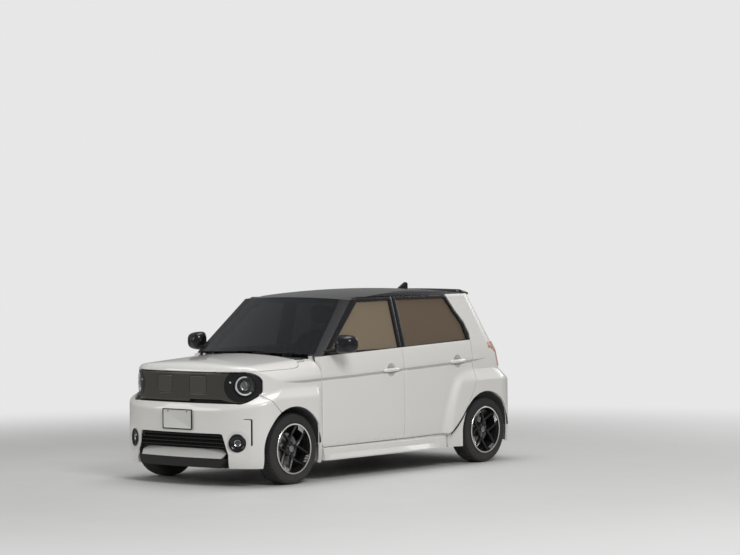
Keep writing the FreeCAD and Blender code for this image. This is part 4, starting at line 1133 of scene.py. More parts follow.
class CAR_OT_bright_bar(bpy.types.Operator):
    """Bright bar under the lower intake, with a leaning face and pointed ends"""
    bl_idname = "car.bright_bar"
    bl_label = "Bright bar"

    def execute(self, context):
        bottom, tall = 228, 70
        rings = []
        for y in both_ways((0, 100, 200, 300, 408, 428, 448, 462, 472)):
            x = 1781 - 33 * (y / 454) ** 2
            top = bottom + tall - 30 * max(abs(y) - 408, 0) / 64
            low = bottom + 39 * max(abs(y) - 448, 0) / 24
            share = (top - low) / tall
            x -= (low - bottom) * 0.85
            rings.append([(x, y, low), (x - 26 * share, y, mix(low, top, 0.5)), (x - 60 * share, y, top),
                          (x - 70 * share - 2, y, top - 5 * share), (x - 34 * share - 2, y, low)])
        add_piece("bright_bar", skin(rings), "body", "silver bar", ("lower_bar",), crease=30)
        return {"FINISHED"}


# The tail: u runs from the middle round a rear corner and forward along the side.


TAIL_SHOULDER_Z = 829
TAIL_SHOULDER_TALL = 97
TAIL_FRONT_U = 500
TAIL_SIDE_U = 900
TAIL_CHIN_Z = 330


def tail_point(u, z):
    flip = -1 if u < 0 else 1
    u = abs(u)
    points = []
    for back, corner, side in ((-1640, 210, 738), (-1790, 300, 787)):
        straight = side - corner
        if u < TAIL_FRONT_U:
            points.append((back, straight * u / TAIL_FRONT_U))
        elif u < TAIL_SIDE_U:
            a = math.radians((u - TAIL_FRONT_U) / (TAIL_SIDE_U - TAIL_FRONT_U) * 90)
            points.append((back + corner - corner * math.cos(a), straight + corner * math.sin(a)))
        else:
            points.append((back + corner + u - TAIL_SIDE_U, side))
    share = soft_ramp((TAIL_SHOULDER_Z - z) / TAIL_SHOULDER_TALL)
    x, y = (mix(a, b, share) for a, b in zip(*points))
    middle = -1600 - 190 * soft_ramp((745 - z) / 105)
    x = mix(middle, x, smooth((y - 530) / 100))
    if z < TAIL_CHIN_Z:
        x += 12 * ((TAIL_CHIN_Z - z) / 165) ** 2
    return x, y * flip, z


def tail_u_at_x(x, z):
    return crossing(lambda u: x - tail_point(u, z)[0], 420, 1300)


def tail_u_at_y(y, z):
    return crossing(lambda u: y - tail_point(u, z)[1], 0, 900)


def tail_outline():
    half = [(0, 745)] + [(tail_u_at_y(y, z), z) for y, z in ((584, 745), (592, 752), (592, 829))]
    start = math.degrees(math.acos((-1500 - AXLE_X["rear"]) / ARCH_R))
    run = [(-1500, z) for z in (829, 800, 770, 740, 700, 650, 600)]
    run += round_run(*REAR_ARCH, start, 180) + [(-1632, z) for z in (240, 200, 165)]
    return mirrored(half + [(tail_u_at_x(x, z), z) for x, z in run] + [(0, 165)])


class CAR_OT_panels(bpy.types.Operator):
    """Hood, fenders and bumpers as smooth pressed panels"""
    bl_idname = "car.panels"
    bl_label = "Panels"

    def execute(self, context):
        def add(name, parts, body, old):
            return add_piece(name, merge_parts(parts), body, "pearl white", (old,), crease=50)
        hood = panel(hood_outline(), [], lambda x, y: (x, y, hood_z(x, y)), 16, 16)
        arm = softened(block(922, 1040, 606, 612, 975, 992), 1)
        add("hood_skin", [hood, both_sides(arm)], "bonnet", "hood")
        runs = [[(u_at_x(x, z), z) for x, z in run] for run in line_runs(857, 1340)]
        fender = panel(fender_outline(), [], front_point, 16, 11, outward=SIDEWAYS, runs=runs)
        # The character line's hollow on the fenders gets painted shade.
        paint_shade_in_hollows(add("fender_skins", [both_sides(fender)], "body", "front_fenders"))
        holes = [lamp_hole(front_point, FOGLAMP, 73, s) for s in FLIPS] + [corner_slit(s) for s in FLIPS]
        bumper = panel(bumper_outline(), holes, front_point, 18, 12, outward=AHEAD)
        plinth = softened(block(1768, 1784, -150, 150, 462, 603), 3)
        add("bumper_skin", [bumper, plinth], "body", "front_bumper")
        tail = panel(tail_outline(), [], tail_point, 18, 14, outward=BEHIND)
        add("tail_bumper_skin", [tail], "body", "rear_bumper")
        return {"FINISHED"}


def seen_x(name, y, z):
    """Where a ray from behind the car meets one of its parts."""
    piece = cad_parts[name]
    back = piece.matrix_world.inverted()
    start = back @ Vector((-2.6, y * 0.001, z * 0.001))
    hit, place, _, _ = piece.ray_cast(start, (back.to_3x3() @ Vector(AHEAD)).normalized())
    return (piece.matrix_world @ place).x * 1000 if hit else -1600


class CAR_OT_rear(bpy.types.Operator):
    """Rear spoiler, tailgate handle and reflectors"""
    bl_idname = "car.rear"
    bl_label = "Rear"

    def execute(self, context):
        section = ((-1288, 1506), (-1292, 1520), (-1308, 1530), (-1340, 1533), (-1400, 1519),
                   (-1440, 1502), (-1450, 1492), (-1447, 1483), (-1420, 1482), (-1350, 1490),
                   (-1300, 1498))
        rings = []
        for y in both_ways((0, 100, 250, 400, 446, 466, 476, 480)):
            size = max(1 - 0.75 * (max(abs(y) - 440, 0) / 40) ** 3, 0.2)
            drop = 8 * (y / 480) ** 2
            rings.append([(-1376 + (x + 1376) * (0.55 + 0.45 * size), y, 1504 + (z - 1504) * size - drop)
                          for x, z in section])
        add_piece("spoiler_foil", skin(rings), "tail_door", "gloss black", ("rear_spoiler",),
                  crease=40)
        z = 1046
        x = seen_x("tailgate", 0, z)
        handle = softened(block(x - 9, x + 3, -130, 130, z - 13, z + 13), 4, 3)
        pocket = softened(block(x - 11, x + 2, -58, 58, z - 20, z - 10), 3, 2)
        add_piece("tailgate_handle", merge_parts([handle, pocket]), "tail_door", "gloss black")
        rings = []
        for i in range(9):
            y = 566 + 11 * i
            x = tail_point(tail_u_at_y(y, TAIL_CHIN_Z), TAIL_CHIN_Z)[0]
            rings.append([(x + dx, y, z) for dx, z in ((-4, 322), (-5.5, 330), (-4, 338), (4, 338),
                                                       (4, 322))])
        add_piece("rear_reflectors", both_sides(skin(rings)), "body", "tail lens", crease=30)
        return {"FINISHED"}


# The side.


FRONT_DOOR = [(848, 1012), (845, 330)] + arc((845, 330), (836, 288), (795, 272)) + [
    (-209.5, 279), (-209.5, 1486), (262, 1484), (806, 1016)]
DOOR_REAR_CORNER = ((-1147, 740), (-992, 480), (-771, 286))
REAR_DOOR = [(-214.5, 279), (-214.5, 1486), (-940, 1488), (-1035, 1343), (-1123, 1242),
             (-1164, 1150)] + arc((-1164, 1150), (-1160, 1000), (-1147, 740)) + arc(*DOOR_REAR_CORNER)
FRONT_WINDOW = [(-165, 1052), (-165, 1455), (252, 1450), (700, 1070), (690, 1046)]
REAR_WINDOW = [(-262, 1056), (-262, 1458), (-922, 1458), (-1010, 1325), (-1090, 1225),
               (-1120, 1092)]
FLARE_EDGE = [(100, -706), (200, -708), (300, -718), (470, -754), (590, -797), (700, -851),
              (770, -900), (812, -950), (835, -1000), (850, -1060)]
FLARE_WIDE = 84
FLARE_Y = 787
HANDLE_SPOTS = {"front": (-42, 868), "rear": (-950, 905)}
CUP_R = 57


def through(steps, z):
    """A smooth curve through three places (height, half width)."""
    total = 0
    for i, (at, value) in enumerate(steps):
        share = 1
        for j, (other, _) in enumerate(steps):
            if j != i:
                share *= (z - other) / (at - other)
        total += share * value
    return total


def wall_y(z):
    """The body side's half width at a height."""
    if z < 300:
        return 690 + (z - 165) / 135 * 38
    if z < 445:
        return 728 + (z - 300) / 145 * 9
    if z < 850:
        return through(((445, 737), (640, 740), (850, 735)), z)
    if z < 1045:
        return through(((850, 735), (950, 728), (1045, 712)), z)
    if z < 1452:
        return 712 - (z - 1045) * 0.26044
    return through(((1452, 606), (1478, 597.5), (1500, 583)), z)


def eased(steps, v):
    """A smooth curve through places given as (at, value)."""
    if v <= steps[0][0]:
        return steps[0][1]
    if v >= steps[-1][0]:
        return steps[-1][1]

    def slope(i):
        a, b = steps[max(i - 1, 0)], steps[min(i + 1, len(steps) - 1)]
        return (b[1] - a[1]) / (b[0] - a[0])
    i = max(k for k in range(len(steps) - 1) if steps[k][0] <= v)
    (a, p), (b, q) = steps[i], steps[i + 1]
    t = (v - a) / (b - a)
    return (p * (1 + 2 * t) * (1 - t) ** 2 + q * t * t * (3 - 2 * t)
            + (b - a) * (slope(i) * t * (1 - t) ** 2 - slope(i + 1) * t * t * (1 - t)))


def side_point(x, z):
    """A point of the body's side, with the flare ahead of the rear wheel."""
    y = wall_y(z)
    if x < -690 and z < 840:
        rise = soft_ramp((TAIL_SHOULDER_Z - z) / TAIL_SHOULDER_TALL, 0.10)
        y += (FLARE_Y - y) * rise * smooth((eased(FLARE_EDGE, z) - x) / FLARE_WIDE)
    return x, y, z


def paint_shade_in_hollows(piece, spot=None):
    """Gives the faces in the character line, and in the cup round a handle, a darker coat: painted shade in these
    hollows.
    """
    mesh = piece.data
    mesh.materials.append(coat_of("painted shade paint"))
    for face in mesh.polygons:
        x, y, z = (c * 1000 for c in face.center)
        away = math.dist((x, z), spot) if spot else 1e9
        tall = line_tall(x)
        in_line = tall > 2 and line_z(x) - tall < z < line_z(x) and abs(y) > 690 and abs(face.normal.y) > 0.2
        # Faces in the hollows take the darker coat, which is painted shade.
        if in_line and away > CUP_R or away < CUP_R - 2 and abs(y) > 700:
            face.material_index = 1


def ring_run(centre, r):
    run = [(centre[0] + r * math.cos(a), centre[1] + r * math.sin(a)) for a in turns(40)]
    return run + run[:1]


class CAR_OT_doors(bpy.types.Operator):
    """Door skins with the character line, the cups behind the handles and the rear flare"""
    bl_idname = "car.doors"
    bl_label = "Doors"

    def execute(self, context):
        for name, outline, window, spans in (("front", FRONT_DOOR, FRONT_WINDOW, (-205, 843)),
                                             ("rear", REAR_DOOR, REAR_WINDOW, (-1148, -219))):
            spot = HANDLE_SPOTS[name]

            def face(x, z):
                _, y, _ = side_point(x, z)
                r = math.dist((x, z), spot)
                cup = 17 * math.sqrt(1 - (r / CUP_R) ** 2) if r < CUP_R else 0
                return x, y - max(cup, line_depth(x, z)), z

            def back(x, z):
                return x, wall_y(z) - mix(64, 36, min(max((z - 1040) / 30, 0), 1)), z
            runs = [ring_run(spot, r) for r in (CUP_R, 55, 49, 38, 22)]
            runs += line_runs(spans[0], spot[0] - CUP_R - 1) + line_runs(spot[0] + CUP_R + 1, spans[1])
            if name == "rear":
                rim = list(zip(outline, outline[1:] + outline[:1]))
                for share in (0, 0.2, 0.4, 0.6, 0.8, 1):
                    edge = [(eased(FLARE_EDGE, z) - share * FLARE_WIDE, z) for z in range(296, 828, 14)]
                    runs.append([(x, z) for x, z in edge if within(rim, x - 8, z) and x > -1050])
            shape = panel(outline, [window], face, 30, 20, outward=SIDEWAYS, runs=runs, inner=back)
            for side, flip in SIDES:
                made = add_piece(name + "_door_skin_" + side, moved(shape, flip), "door_" + name + "_" + side,
                                 "door paint", (name + "_door_" + side,), crease=40)
                # The character line's hollow and the handle's cup get painted shade.
                paint_shade_in_hollows(made, spot)
                made.data.materials.append(coat_of("moulded plastic"))
                for inside in made.data.polygons:
                    if inside.normal.y * flip < -0.6:
                        inside.material_index = 2
        return {"FINISHED"}


class CAR_OT_skirts(bpy.types.Operator):
    """Side skirts, the character line behind the rear doors, and a black strip painted as the shadow in the slit below
    them
    """
    bl_idname = "car.skirts"
    bl_label = "Skirts"

    def execute(self, context):
        skirt = []
        for x in (845, 835, 815, 795, 780, 500, 200, -100, -400, -540, -580, -620, -650,
                  -675, -690, -705):
            ledge = smooth((838 - x) / 60) * smooth((x + 700) / 90)
            tail = smooth((-560 - x) / 140)
            plain = ((692, 262), (738, 266), (747, 259), (756, 222), (757, 215),
                     (757 + 27 * ledge, 178), (755 + 25 * ledge, 166), (692, 166))
            flared = ((692, 262), (781, 268), (786, 261), (787, 222), (787, 215), (787, 178),
                      (785, 166), (692, 166))
            skirt.append([(x, mix(a[0], b[0], tail), mix(a[1], b[1], tail)) for a, b in zip(plain, flared)])
        crease = []
        for i in range(12):
            x = -1160 - i * 20
            z = line_z(x)
            k = line_tall(x) / LINE_TALL * (1 if i else 0.9)
            section = ((52, -0.6 + 0.7 * k), (24, 2.4 * k), (1, 6.5 * k), (-1, 6.5 * k), (-14 * k - 1, 0.1),
                       (-16, -3), (52, -3))
            crease.append([(x, wall_y(z + dz) + proud, z + dz) for dz, proud in section])
        # A thin black strip along the rear door's lower corner paints the shadow in the gap there.
        edge = [Vector(p) for p in (DOOR_REAR_CORNER[0], *arc(*DOOR_REAR_CORNER, 40))]
        slit = []
        for i in range(17, 41):
            run = edge[min(i + 1, 40)] - edge[i - 1]
            out = Vector((run.y, -run.x)).normalized()
            if out.y > 0:
                out = -out
            wide = 13 * math.sin(math.pi * min((i - 16) / 30, 1)) + 0.4
            near, far = edge[i] + out * 3, edge[i] + out * (3 + wide)
            slit.append([(p.x, y, p.y) for p, y in ((near, 788.4), (far, 788.4), (far, 785), (near, 785))])
        skirt, crease, slit = (both_sides(skin(rings)) for rings in (skirt, crease, slit))
        add_piece("skirt_skins", skirt, "body", "pearl white", ("side_skirts",), crease=25)
        # The character line's hollow behind the rear doors gets painted shade.
        paint_shade_in_hollows(add_piece("quarter_lines", crease, "body", "pearl white", crease=30))
        add_piece("door_slits", slit, "body", "satin black", crease=30)
        return {"FINISHED"}


# Front.


class CAR_OT_intake(bpy.types.Operator):
    """Slats and upright bars of the lower intake"""
    bl_idname = "car.intake"
    bl_label = "Lower intake"

    def execute(self, context):
        sizes = context.scene.car_sizes
        bottom, top, half = 304, 416, 450
        slat = softened(block(1700, 1716, -452, 452, -2, 2), 0.8, 1)
        upright = softened(block(1703, 1713, -1.5, 1.5, bottom, top), 0.6, 1)
        rise = (top - bottom) / (sizes.slat_count - 1) * 0.001
        gap = 2 * half / (sizes.mesh_count - 1) * 0.001
        for name, part, shift, count, step in (
                ("intake_slats", slat, (0.0, 0.0, bottom), sizes.slat_count, (0.0, 0.0, rise)),
                ("intake_bars", upright, (0.0, -half, 0.0), sizes.mesh_count, (0.0, gap, 0.0))):
            row = repeated(part, "copies in a row", 1, shift, Count=count, Step=step)
            add_piece(name, row, "body", "satin black", crease=20)
        return {"FINISHED"}


class CAR_OT_plate(bpy.types.Operator):
    """Blank number plate with its frame and bolts"""
    bl_idname = "car.plate"
    bl_label = "Number plate"

    def execute(self, context):
        def loop(x, inset, r):
            run = rounded_square(-165 + inset, 165 - inset, 450 + inset, 615 - inset, r, 4)
            return [(x, y, z) for y, z in run]
        edge = skin([loop(1784.2, 0, 10), loop(1791.5, 0, 10), loop(1791.5, 7, 6), loop(1784.2, 7, 6)],
                    closed=True)
        add_piece("plate_frame", edge, "body", "satin black", ("number_plate",))
        blank = skin([loop(1784.4, 7.5, 6), loop(1788, 7.5, 6), loop(1789.6, 10.5, 5), loop(1788.2, 14, 4)])
        add_piece("plate_blank", blank, "body", "plate white")
        points, faces = lathe([(0.01, 3), (4, 2.6), (6.5, 1), (7, -1), (7, -4), (0.01, -4)], 20,
                              closed=False)
        bolts = [([(1788.6 + q, y + p, 595 + r) for p, q, r in points], faces) for y in (-105, 105)]
        add_piece("plate_bolts", merge_parts(bolts), "body", "dark steel")
        return {"FINISHED"}


# Doors.


class CAR_OT_handles(bpy.types.Operator):
    """Door handles in round cups"""
    bl_idname = "car.handles"
    bl_label = "Door handles"

    def execute(self, context):
        for name, (x, z) in HANDLE_SPOTS.items():
            y = wall_y(z) - 4
            rings = []
            for u, h, out in ((-108, 5, 4), (-104, 13, 12), (-86, 17, 20), (-50, 17.5, 27),
                              (0, 17.5, 30), (50, 17, 27), (80, 15.5, 19), (96, 11, 10),
                              (100, 4, 3)):
                section = ((-1, -0.2), (-0.85, 0.55), (-0.45, 0.92), (0, 1), (0.45, 0.92), (0.85, 0.55),
                           (1, -0.2))
                rings.append([(x + u, y + max(out * dy, -2), z + h * dz - u * 0.034) for dz, dy in section])
            for side, flip in SIDES:
                code = name + "_" + side
                add_piece("handle_" + code, moved(skin(rings), flip), "door_" + code, "pearl white",
                          crease=50)
        return {"FINISHED"}


# Mirrors.


MIRROR_Y = 854
MIRROR_Z = 1113


def mirror_ring(x, wide, tall, lean):
    """A squarish ring about the mirror's middle. lean gives how far ahead each place stands, and how low it is."""
    ring = []
    for a in turns(32):
        c, v = (math.copysign(abs(w) ** power, w) for w, power in ((math.cos(a), 0.62), (math.sin(a), 0.66)))
        dx, taper = lean(math.cos(a), c)
        ring.append((x - 10 * dx, MIRROR_Y + wide * c, MIRROR_Z + tall * v * taper))
    return ring


class CAR_OT_mirrors(bpy.types.Operator):
    """Door mirrors: housing, glass and neck"""
    bl_idname = "car.mirrors"
    bl_label = "Mirrors"

    def execute(self, context):
        shell = skin([mirror_ring(x, 92 * s, 77 * s, lambda _, c: (c, 1 - 0.10 * c)) for x, s in (
            (646, 0.90), (640, 0.945), (644, 0.985), (660, 1), (684, 0.99), (706, 0.94), (724, 0.85),
            (737, 0.72), (746, 0.54), (751, 0.30), (752.5, 0.10))])
        glass = skin([mirror_ring(x, 84, 69, lambda flat, _: (flat, 1)) for x in (640.5, 647.5)])
        rings = []
        for i in range(7):
            f = i / 6
            wide = 66 - 40 * f ** 0.7
            rings.append([(722 - 16 * f + wide * math.cos(a), 700 + 100 * f,
                           1052 + 12 * f + (22 - 6 * f) * math.sin(a)) for a in turns(20)])
        neck = skin(rings)
        for side, flip in SIDES:
            for name, part, coat, slot, old, crease in (
                    ("mirror_housing_", shell, "gloss black", "black_paint", ("door_mirror_" + side,), 50),
                    ("mirror_glass_", glass, "mirror glass", "tinted_glass", (), 35),
                    ("mirror_neck_", neck, "satin black", "dark_plastic", (), 50)):
                add_piece(name + side, moved(part, flip), "door_front_" + side, coat, old, crease)
        return {"FINISHED"}


# Inside.


class CAR_OT_steering(bpy.types.Operator):
    """Steering wheel with a padded rim, boss and three spokes"""
    bl_idname = "car.steering"
    bl_label = "Steering wheel"

    def execute(self, context):
        lean = Matrix.Translation((430, -330, 900)) @ Matrix.Rotation(math.radians(-62), 4, "Y")
        stand = lean @ Matrix.Rotation(math.radians(90), 4, "X")
        rim = lathe([(176 + 13 * math.cos(a), 13 * math.sin(a)) for a in turns(16)], 72)
        add_piece("steering_rim", turned_part(rim, stand), "steering", "grained leather",
                  ("steering_wheel",))
        boss = lathe([(0.01, 18), (40, 16), (58, 8), (62, -6), (50, -22), (22, -30),
                      (22, -95), (0.01, -95)], 40, closed=False)
        parts = [turned_part(boss, stand)]
        for x0, x1, y0, y1 in ((-14, 14, 40, 168), (-14, 14, -168, -40), (-168, -40, -14, 14)):
            parts.append(turned_part(softened(block(x0, x1, y0, y1, -8, 5), 4), lean))
        add_piece("steering_boss", merge_parts(parts), "steering", "moulded plastic")
        return {"FINISHED"}


def cushion(section, y0, y1, sharp=7, steps=14):
    """A crowned closed pad.

    Its section's corners run front bottom, front top, rear top, rear bottom. sharp sets how tight its edges turn.
    """
    spots = [math.sin((i / steps - 0.5) * math.pi) * 0.35 + (2 * i / steps - 1) * 0.65 for i in range(steps + 1)]
    points = []
    faces = []
    for axis in range(3):
        for end in (-1, 1):
            start = len(points)
            for one in spots:
                for other in spots:
                    spot = [one, other]
                    spot.insert(axis, end)
                    norm = sum(abs(v) ** sharp for v in spot) ** (1 / sharp)
                    a, b, c = (v / norm for v in spot)
                    a, b, c = (a * math.sqrt(1 - 0.09 * (b * b + c * c)), b * math.sqrt(1 - 0.05 * (a * a + c * c)),
                               c * math.sqrt(1 - 0.09 * (a * a + b * b)))
                    s, t = 0.5 * (a + 1), 0.5 * (c + 1)
                    low = [mix(p, q, s) for p, q in zip(section[0], section[3])]
                    top = [mix(p, q, s) for p, q in zip(section[1], section[2])]
                    x, z = (mix(p, q, t) for p, q in zip(low, top))
                    points.append((x, y0 + (y1 - y0) * 0.5 * (b + 1), z))
            for i in range(steps):
                for j in range(steps):
                    k = start + i * (steps + 1) + j
                    faces.append((k, k + 1, k + steps + 2, k + steps + 1))
    return points, faces


SEAT_BASE = ((372, 400), (392, 590), (-120, 560), (-130, 400))
BASE_BOLSTER = ((360, 390), (382, 604), (-150, 590), (-160, 390))
SEAT_BACK = ((-110, 560), (-305, 1200), (-392, 1200), (-232, 480))
BACK_BOLSTER = ((-80, 590), (-270, 1150), (-385, 1160), (-235, 500))
HEADREST = ((-306, 1240), (-302, 1405), (-386, 1405), (-398, 1240))
BENCH_BASE = ((-524, 500), (-524, 632), (-900, 606), (-960, 500))
BENCH_BACK = ((-900, 590), (-1112, 1176), (-1196, 1172), (-1040, 560))
SEAT_SEAM = ((384, 603), (-110, 579), (-285, 1178))


class CAR_OT_seats(bpy.types.Operator):
    """Seats with rounded cushions, side bolsters, headrests and piping"""
    bl_idname = "car.seats"
    bl_label = "Seats"

    def execute(self, context):
        front = [cushion(*row) for row in (
            (SEAT_BASE, 170, 480), (BASE_BOLSTER, 112, 186), (BASE_BOLSTER, 464, 538),
            (SEAT_BACK, 170, 480), (BACK_BOLSTER, 114, 190), (BACK_BOLSTER, 460, 536),
            (HEADREST, 215, 435, 4))]
        front += [tube([(-350, y, 1180), (-350, y, 1260)], 7) for y in (270, 380)]
        front.append(softened(block(-160, 340, 150, 500, 326, 400), 12))
        piping = [tube([(x, y, z) for x, z in SEAT_SEAM], 3, 8) for y in (188, 462)]
        rear = [cushion(section, y0, y1) for y0, y1 in ((-518, -4), (4, 518))
                for section in (BENCH_BASE, BENCH_BACK)]
        rear.append(softened(block(-850, -560, -480, 480, 326, 504), 12))
        for name, part, old in (("front_seat_covers", both_sides(merge_parts(front)), "front_seats"),
                                ("rear_seat_covers", merge_parts(rear), "rear_seat")):
            add_piece(name, part, "body", "seat cloth", (old,), crease=50.0)
        add_piece("seat_piping", both_sides(merge_parts(piping)), "body", "piping", crease=60)
        return {"FINISHED"}


# Finishes of the frame's own parts.


NODE_COATS = {
    "door paint": "front_door_left front_door_right rear_door_left rear_door_right",
    "frame paint": "side_frames",
    "pearl white": "hood front_fenders front_bumper rear_bumper side_skirts tailgate",
    "gloss black": "roof_panel rear_spoiler antenna_fin headlamps fog_lamps door_mirror_left door_mirror_right",
    "front panel": "grille_panel",
    "lid panel": "charge_lid_left charge_lid_right",
    "satin black": "lower_grille wipers",
    "silver bar": "lower_bar",
    "moulded plastic": "cowl_panel dashboard steering_wheel",
    "underbody": "floor_pan front_subframe rear_axle_beam wheel_liners",
    "battery case": "battery_pack",
    "cast steel": "drive_motor front_knuckle_left front_knuckle_right",
    "seat cloth": "front_seats rear_seat",
    "tail lens": "tail_lamps",
    "screen glass": "windscreen",
    "side glass": "front_door_glass_left front_door_glass_right",
    "tinted glass": "tailgate_glass rear_door_glass_left rear_door_glass_right",
    "plate white": "number_plate",
}


def make_finishes(colours):
    paint, roof, front, cloth, rim = (
        tuple(getattr(colours, key)) for key in ("paint", "roof", "panel", "cloth", "rim"))
    gloss = dict(roughness=0.32, coat=1, grain=0.05, grain_size=900, waves=1, drift=0.03)
    finish("pearl white", paint, dust=0.25, **gloss)
    thin = {**gloss, "coat": 0.15, "roughness": 0.26, "dust": 0.25}
    two_tone("door paint", paint, roof, above_belt, Specular_IOR_Level=0.35, **thin)
    two_tone("frame paint", paint, roof, front_pillars, Specular_IOR_Level=0.35, **thin)
    # Body paint at two thirds of its brightness: painted shade for the hollows of the character line and the handle
    # cups.
    finish("painted shade paint", tuple(v * 0.66 for v in paint), **thin)
    black = {**gloss, "roughness": 0.20, "coat": 0, "dust": 0}
    finish("gloss black", roof, **black)
    two_tone("front panel", front, (0.006, 0.006, 0.007), lamp_surround, **{**black, "roughness": 0.24})
    finish("lid panel", tuple(v * 1.25 for v in front), **{**black, "roughness": 0.26})
    finish("satin black", (0.006, 0.006, 0.006), 0.5, grain=0.25, grain_size=700, dust=0.2, Specular_IOR_Level=0.3)
    finish("moulded plastic", (0.022, 0.022, 0.024), 0.6, grain=0.5, grain_size=650, dust=0)
    finish("grained leather", (0.020, 0.020, 0.021), 0.5, grain=0.7, grain_size=520, dust=0)
    finish("underbody", (0.018, 0.018, 0.019), 0.8, grain=0.8, grain_size=240, dust=1.2)
    finish("battery case", (0.10, 0.11, 0.12), 0.5, 0.7, grain=0.2, grain_size=200, dust=1.2)
    finish("cast steel", (0.42, 0.41, 0.39), 0.42, 1, grain=0.25, grain_size=260, waves=1, dust=0.6)
    finish("dark steel", (0.22, 0.22, 0.23), 0.35, 1, grain=0.1, grain_size=400)
    finish("cut metal", (0.86, 0.85, 0.82), 0.20, 1, grain=0.12, grain_size=900, dust=0.05)
    finish("satin grey", (0.30, 0.30, 0.31), 0.35, 0.8)
    finish("rim black", rim, 0.26, drift=0.05, dust=0.08, grain=0.05, grain_size=500, waves=1)
    finish("tyre rubber", (0.020, 0.020, 0.021), 0.72, grain=0.5, grain_size=420, dust=0.25, drift=0.3, size=12)
    finish("bright chrome", (0.85, 0.85, 0.86), 0.08, 1, dust=0)
    finish("light guide", (0.80, 0.81, 0.82), 0.22, 0.35, 0.6, dust=0, grain=0.4, grain_size=240, waves=1)
    finish("lamp lens", (0.06, 0.065, 0.075), 0.04, coat=1, dust=0, IOR=1.5)
    finish("clear plastic", (1, 1, 1), 0.02, drift=0, dust=0, Transmission_Weight=1, IOR=1.2)
    glass = dict(drift=0.02, dust=0, IOR=1.45)
    finish("screen glass", (0.13, 0.16, 0.20), 0.01, Transmission_Weight=1, **glass)
    finish("side glass", (0.40, 0.32, 0.22), 0.03, Transmission_Weight=0.50, **glass)
    finish("tinted glass", (0.26, 0.19, 0.13), 0.03, Transmission_Weight=0.50, **glass)
    finish("mirror glass", (0.75, 0.77, 0.78), 0.02, 1, drift=0.02, dust=0)
    two_tone("tail lens", (0.40, 0.012, 0.014), (0.62, 0.34, 0.28), lens_side, roughness=0.12, coat=0.6, dust=0,
             grain=0.3, grain_size=160)
    finish("silver bar", (0.78, 0.78, 0.75), 0.34, 0.55, 0.5, grain=0.05, grain_size=800, waves=1)
    finish("plate white", (0.72, 0.72, 0.68), 0.45, drift=0.04, grain=0.08, grain_size=300, waves=1)
    cloth_finish("seat cloth", cloth)
    finish("piping", tuple(v * 0.35 for v in cloth), 0.7, dust=0)


class CAR_OT_finishes(bpy.types.Operator):
    """Makes the materials and puts them on the frame's parts"""
    bl_idname = "car.finishes"
    bl_label = "Finishes"

    def execute(self, context):
        build_tone_group()
        build_grain_group()
        build_weave_group()
        copies_tree("copies in a ring", ("First Angle", "Float"), in_a_ring)
        copies_tree("copies in a row", ("Step", "Vector"), in_a_row)
        make_finishes(context.scene.car_colours)
        for coat, names in NODE_COATS.items():
            for name in names.split():
                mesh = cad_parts[name].data
                mesh.materials.clear()
                mesh.materials.append(coat_of(coat))
        return {"FINISHED"}


# Stage.


BACKDROP = 0.80
FLOOR_R = 80000
WHITE = (1, 1, 1, 1)


def seen_directly(tree):
    """1 for rays from the camera, and for those that came through glass."""
    rays = tree.nodes.new("ShaderNodeLightPath").outputs
    return calc(tree, "MAXIMUM", rays["Is Camera Ray"], rays["Is Transmission Ray"])


def add_floor(scene):
    """A pale floor that turns into the backdrop far from the car."""
    ring = [(FLOOR_R * math.cos(a), FLOOR_R * math.sin(a), 0) for a in turns(64)]
    mesh = mesh_of("floor", ring, [tuple(range(64))])
    floor = bpy.data.objects.new("floor", mesh)
    scene.collection.objects.link(floor)
    coat = bpy.data.materials.new("pale floor")
    coat.use_nodes = True
    tree = coat.node_tree
    shader = tree.nodes["Principled BSDF"]
    place = object_place(tree)
    noise = node(tree, "ShaderNodeTexNoise", {"Vector": place, "Scale": 2, "Detail": 5}).outputs["Fac"]
    tone = blend(tree, noise, (0.60, 0.60, 0.595, 1), (0.64, 0.64, 0.635, 1))
    feed(tree, shader, {"Base Color": tone, "Roughness": 0.6})
    fade = ramp(tree, reach(tree, place), 3.2, 9, interpolation_type="SMOOTHSTEP")
    share = calc(tree, "MULTIPLY", fade, seen_directly(tree))
    glow = node(tree, "ShaderNodeEmission", {"Color": WHITE, "Strength": BACKDROP})
    both = node(tree, "ShaderNodeMixShader", {0: share, 1: shader.outputs[0], 2: glow.outputs[0]})
    feed(tree, tree.nodes["Material Output"], {"Surface": both.outputs[0]})
    mesh.materials.append(coat)


def add_world(scene):
    world = bpy.data.worlds.new("studio")
    world.use_nodes = True
    scene.world = world
    tree = world.node_tree
    sky = node(tree, "ShaderNodeMapRange", {"Value": seen_directly(tree), "To Min": 0.30, "To Max": BACKDROP})
    feed(tree, tree.nodes["Background"], {"Strength": sky.outputs[0], "Color": WHITE})


def add_lights(scene):
    for name, place, aim, size, watts in (("key", (4, 7, 6), (0.2, 0, 0.5), (3, 3), 330),
                                          ("top", (0, 0, 7), (0, 0, 0), (6, 3), 200),
                                          ("fill", (7, -5, 3.5), (1, 0, 0.6), (4, 3), 95),
                                          ("back", (-7, 1, 4), (-1, 0, 0.7), (4, 3), 90)):
        data = bpy.data.lights.new(name, "AREA")
        data.shape = "RECTANGLE"
        data.size, data.size_y = size
        data.energy = watts
        lamp = bpy.data.objects.new(name, data)
        lamp.location = place
        lamp.rotation_euler = (Vector(aim) - Vector(place)).to_track_quat("-Z", "Y").to_euler()
        scene.collection.objects.link(lamp)


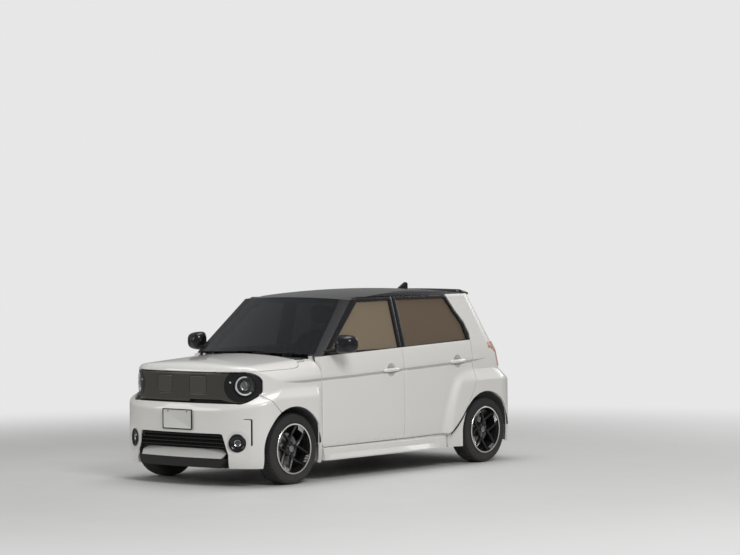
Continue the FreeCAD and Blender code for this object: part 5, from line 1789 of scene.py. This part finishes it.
def add_camera(scene):
    """The photograph's camera, as fitted to the car's outline, wheels and lamps."""
    data = bpy.data.cameras.new("camera")
    data.sensor_width = 36
    data.lens = 119.7
    data.clip_end = 200
    camera = bpy.data.objects.new("camera", data)
    camera.location = (15.921, 14.080, 1.906)
    yaw, pitch, roll = (math.radians(a) for a in (220.38, -0.70, -0.51))
    ahead = Vector((math.cos(pitch) * math.cos(yaw), math.cos(pitch) * math.sin(yaw), math.sin(pitch)))
    level = ahead.cross(Vector((0, 0, 1))).normalized()
    upright = level.cross(ahead)
    right = level * math.cos(roll) + upright * math.sin(roll)
    up = upright * math.cos(roll) - level * math.sin(roll)
    camera.rotation_euler = Matrix((right, up, -ahead)).transposed().to_euler()
    scene.collection.objects.link(camera)
    scene.camera = camera


class CAR_OT_stage(bpy.types.Operator):
    """Pale floor, soft lights, world and camera"""
    bl_idname = "car.stage"
    bl_label = "Stage"

    def execute(self, context):
        scene = context.scene
        scene.view_settings.view_transform = "Standard"
        add_floor(scene)
        add_world(scene)
        add_lights(scene)
        add_camera(scene)
        return {"FINISHED"}


OPERATORS = (
    CAR_OT_finishes,
    CAR_OT_stage,
    CAR_OT_panels,
    CAR_OT_front_panel,
    CAR_OT_bright_bar,
    CAR_OT_rear,
    CAR_OT_doors,
    CAR_OT_skirts,
    CAR_OT_seats,
    CAR_OT_tyres,
    CAR_OT_rims,
    CAR_OT_headlamps,
    CAR_OT_foglamps,
    CAR_OT_intake,
    CAR_OT_plate,
    CAR_OT_handles,
    CAR_OT_mirrors,
    CAR_OT_steering,
)


class CAR_PT_looks(bpy.types.Panel):
    bl_label = "Kei Car"
    bl_idname = "CAR_PT_looks"
    bl_space_type = "VIEW_3D"
    bl_region_type = "UI"
    bl_category = "Kei Car"

    def draw(self, context):
        layout = self.layout
        for holder in (context.scene.car_sizes, context.scene.car_colours):
            for key in holder.bl_rna.properties.keys():
                if key not in ("rna_type", "name"):
                    layout.prop(holder, key)
        for operator in OPERATORS:
            layout.operator(operator.bl_idname)


CLASSES = (CarSizes, CarColours, *OPERATORS, CAR_PT_looks)


def register():
    for cls in CLASSES:
        bpy.utils.register_class(cls)
    bpy.types.Scene.car_sizes = bpy.props.PointerProperty(type=CarSizes)
    bpy.types.Scene.car_colours = bpy.props.PointerProperty(type=CarColours)


def unregister():
    del bpy.types.Scene.car_sizes
    del bpy.types.Scene.car_colours
    for cls in reversed(CLASSES):
        bpy.utils.unregister_class(cls)


def main():
    register()
    for operator in OPERATORS:
        group, name = operator.bl_idname.split(".")
        getattr(getattr(bpy.ops, group), name)()
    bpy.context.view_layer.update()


if __name__ == "__main__":
    main()
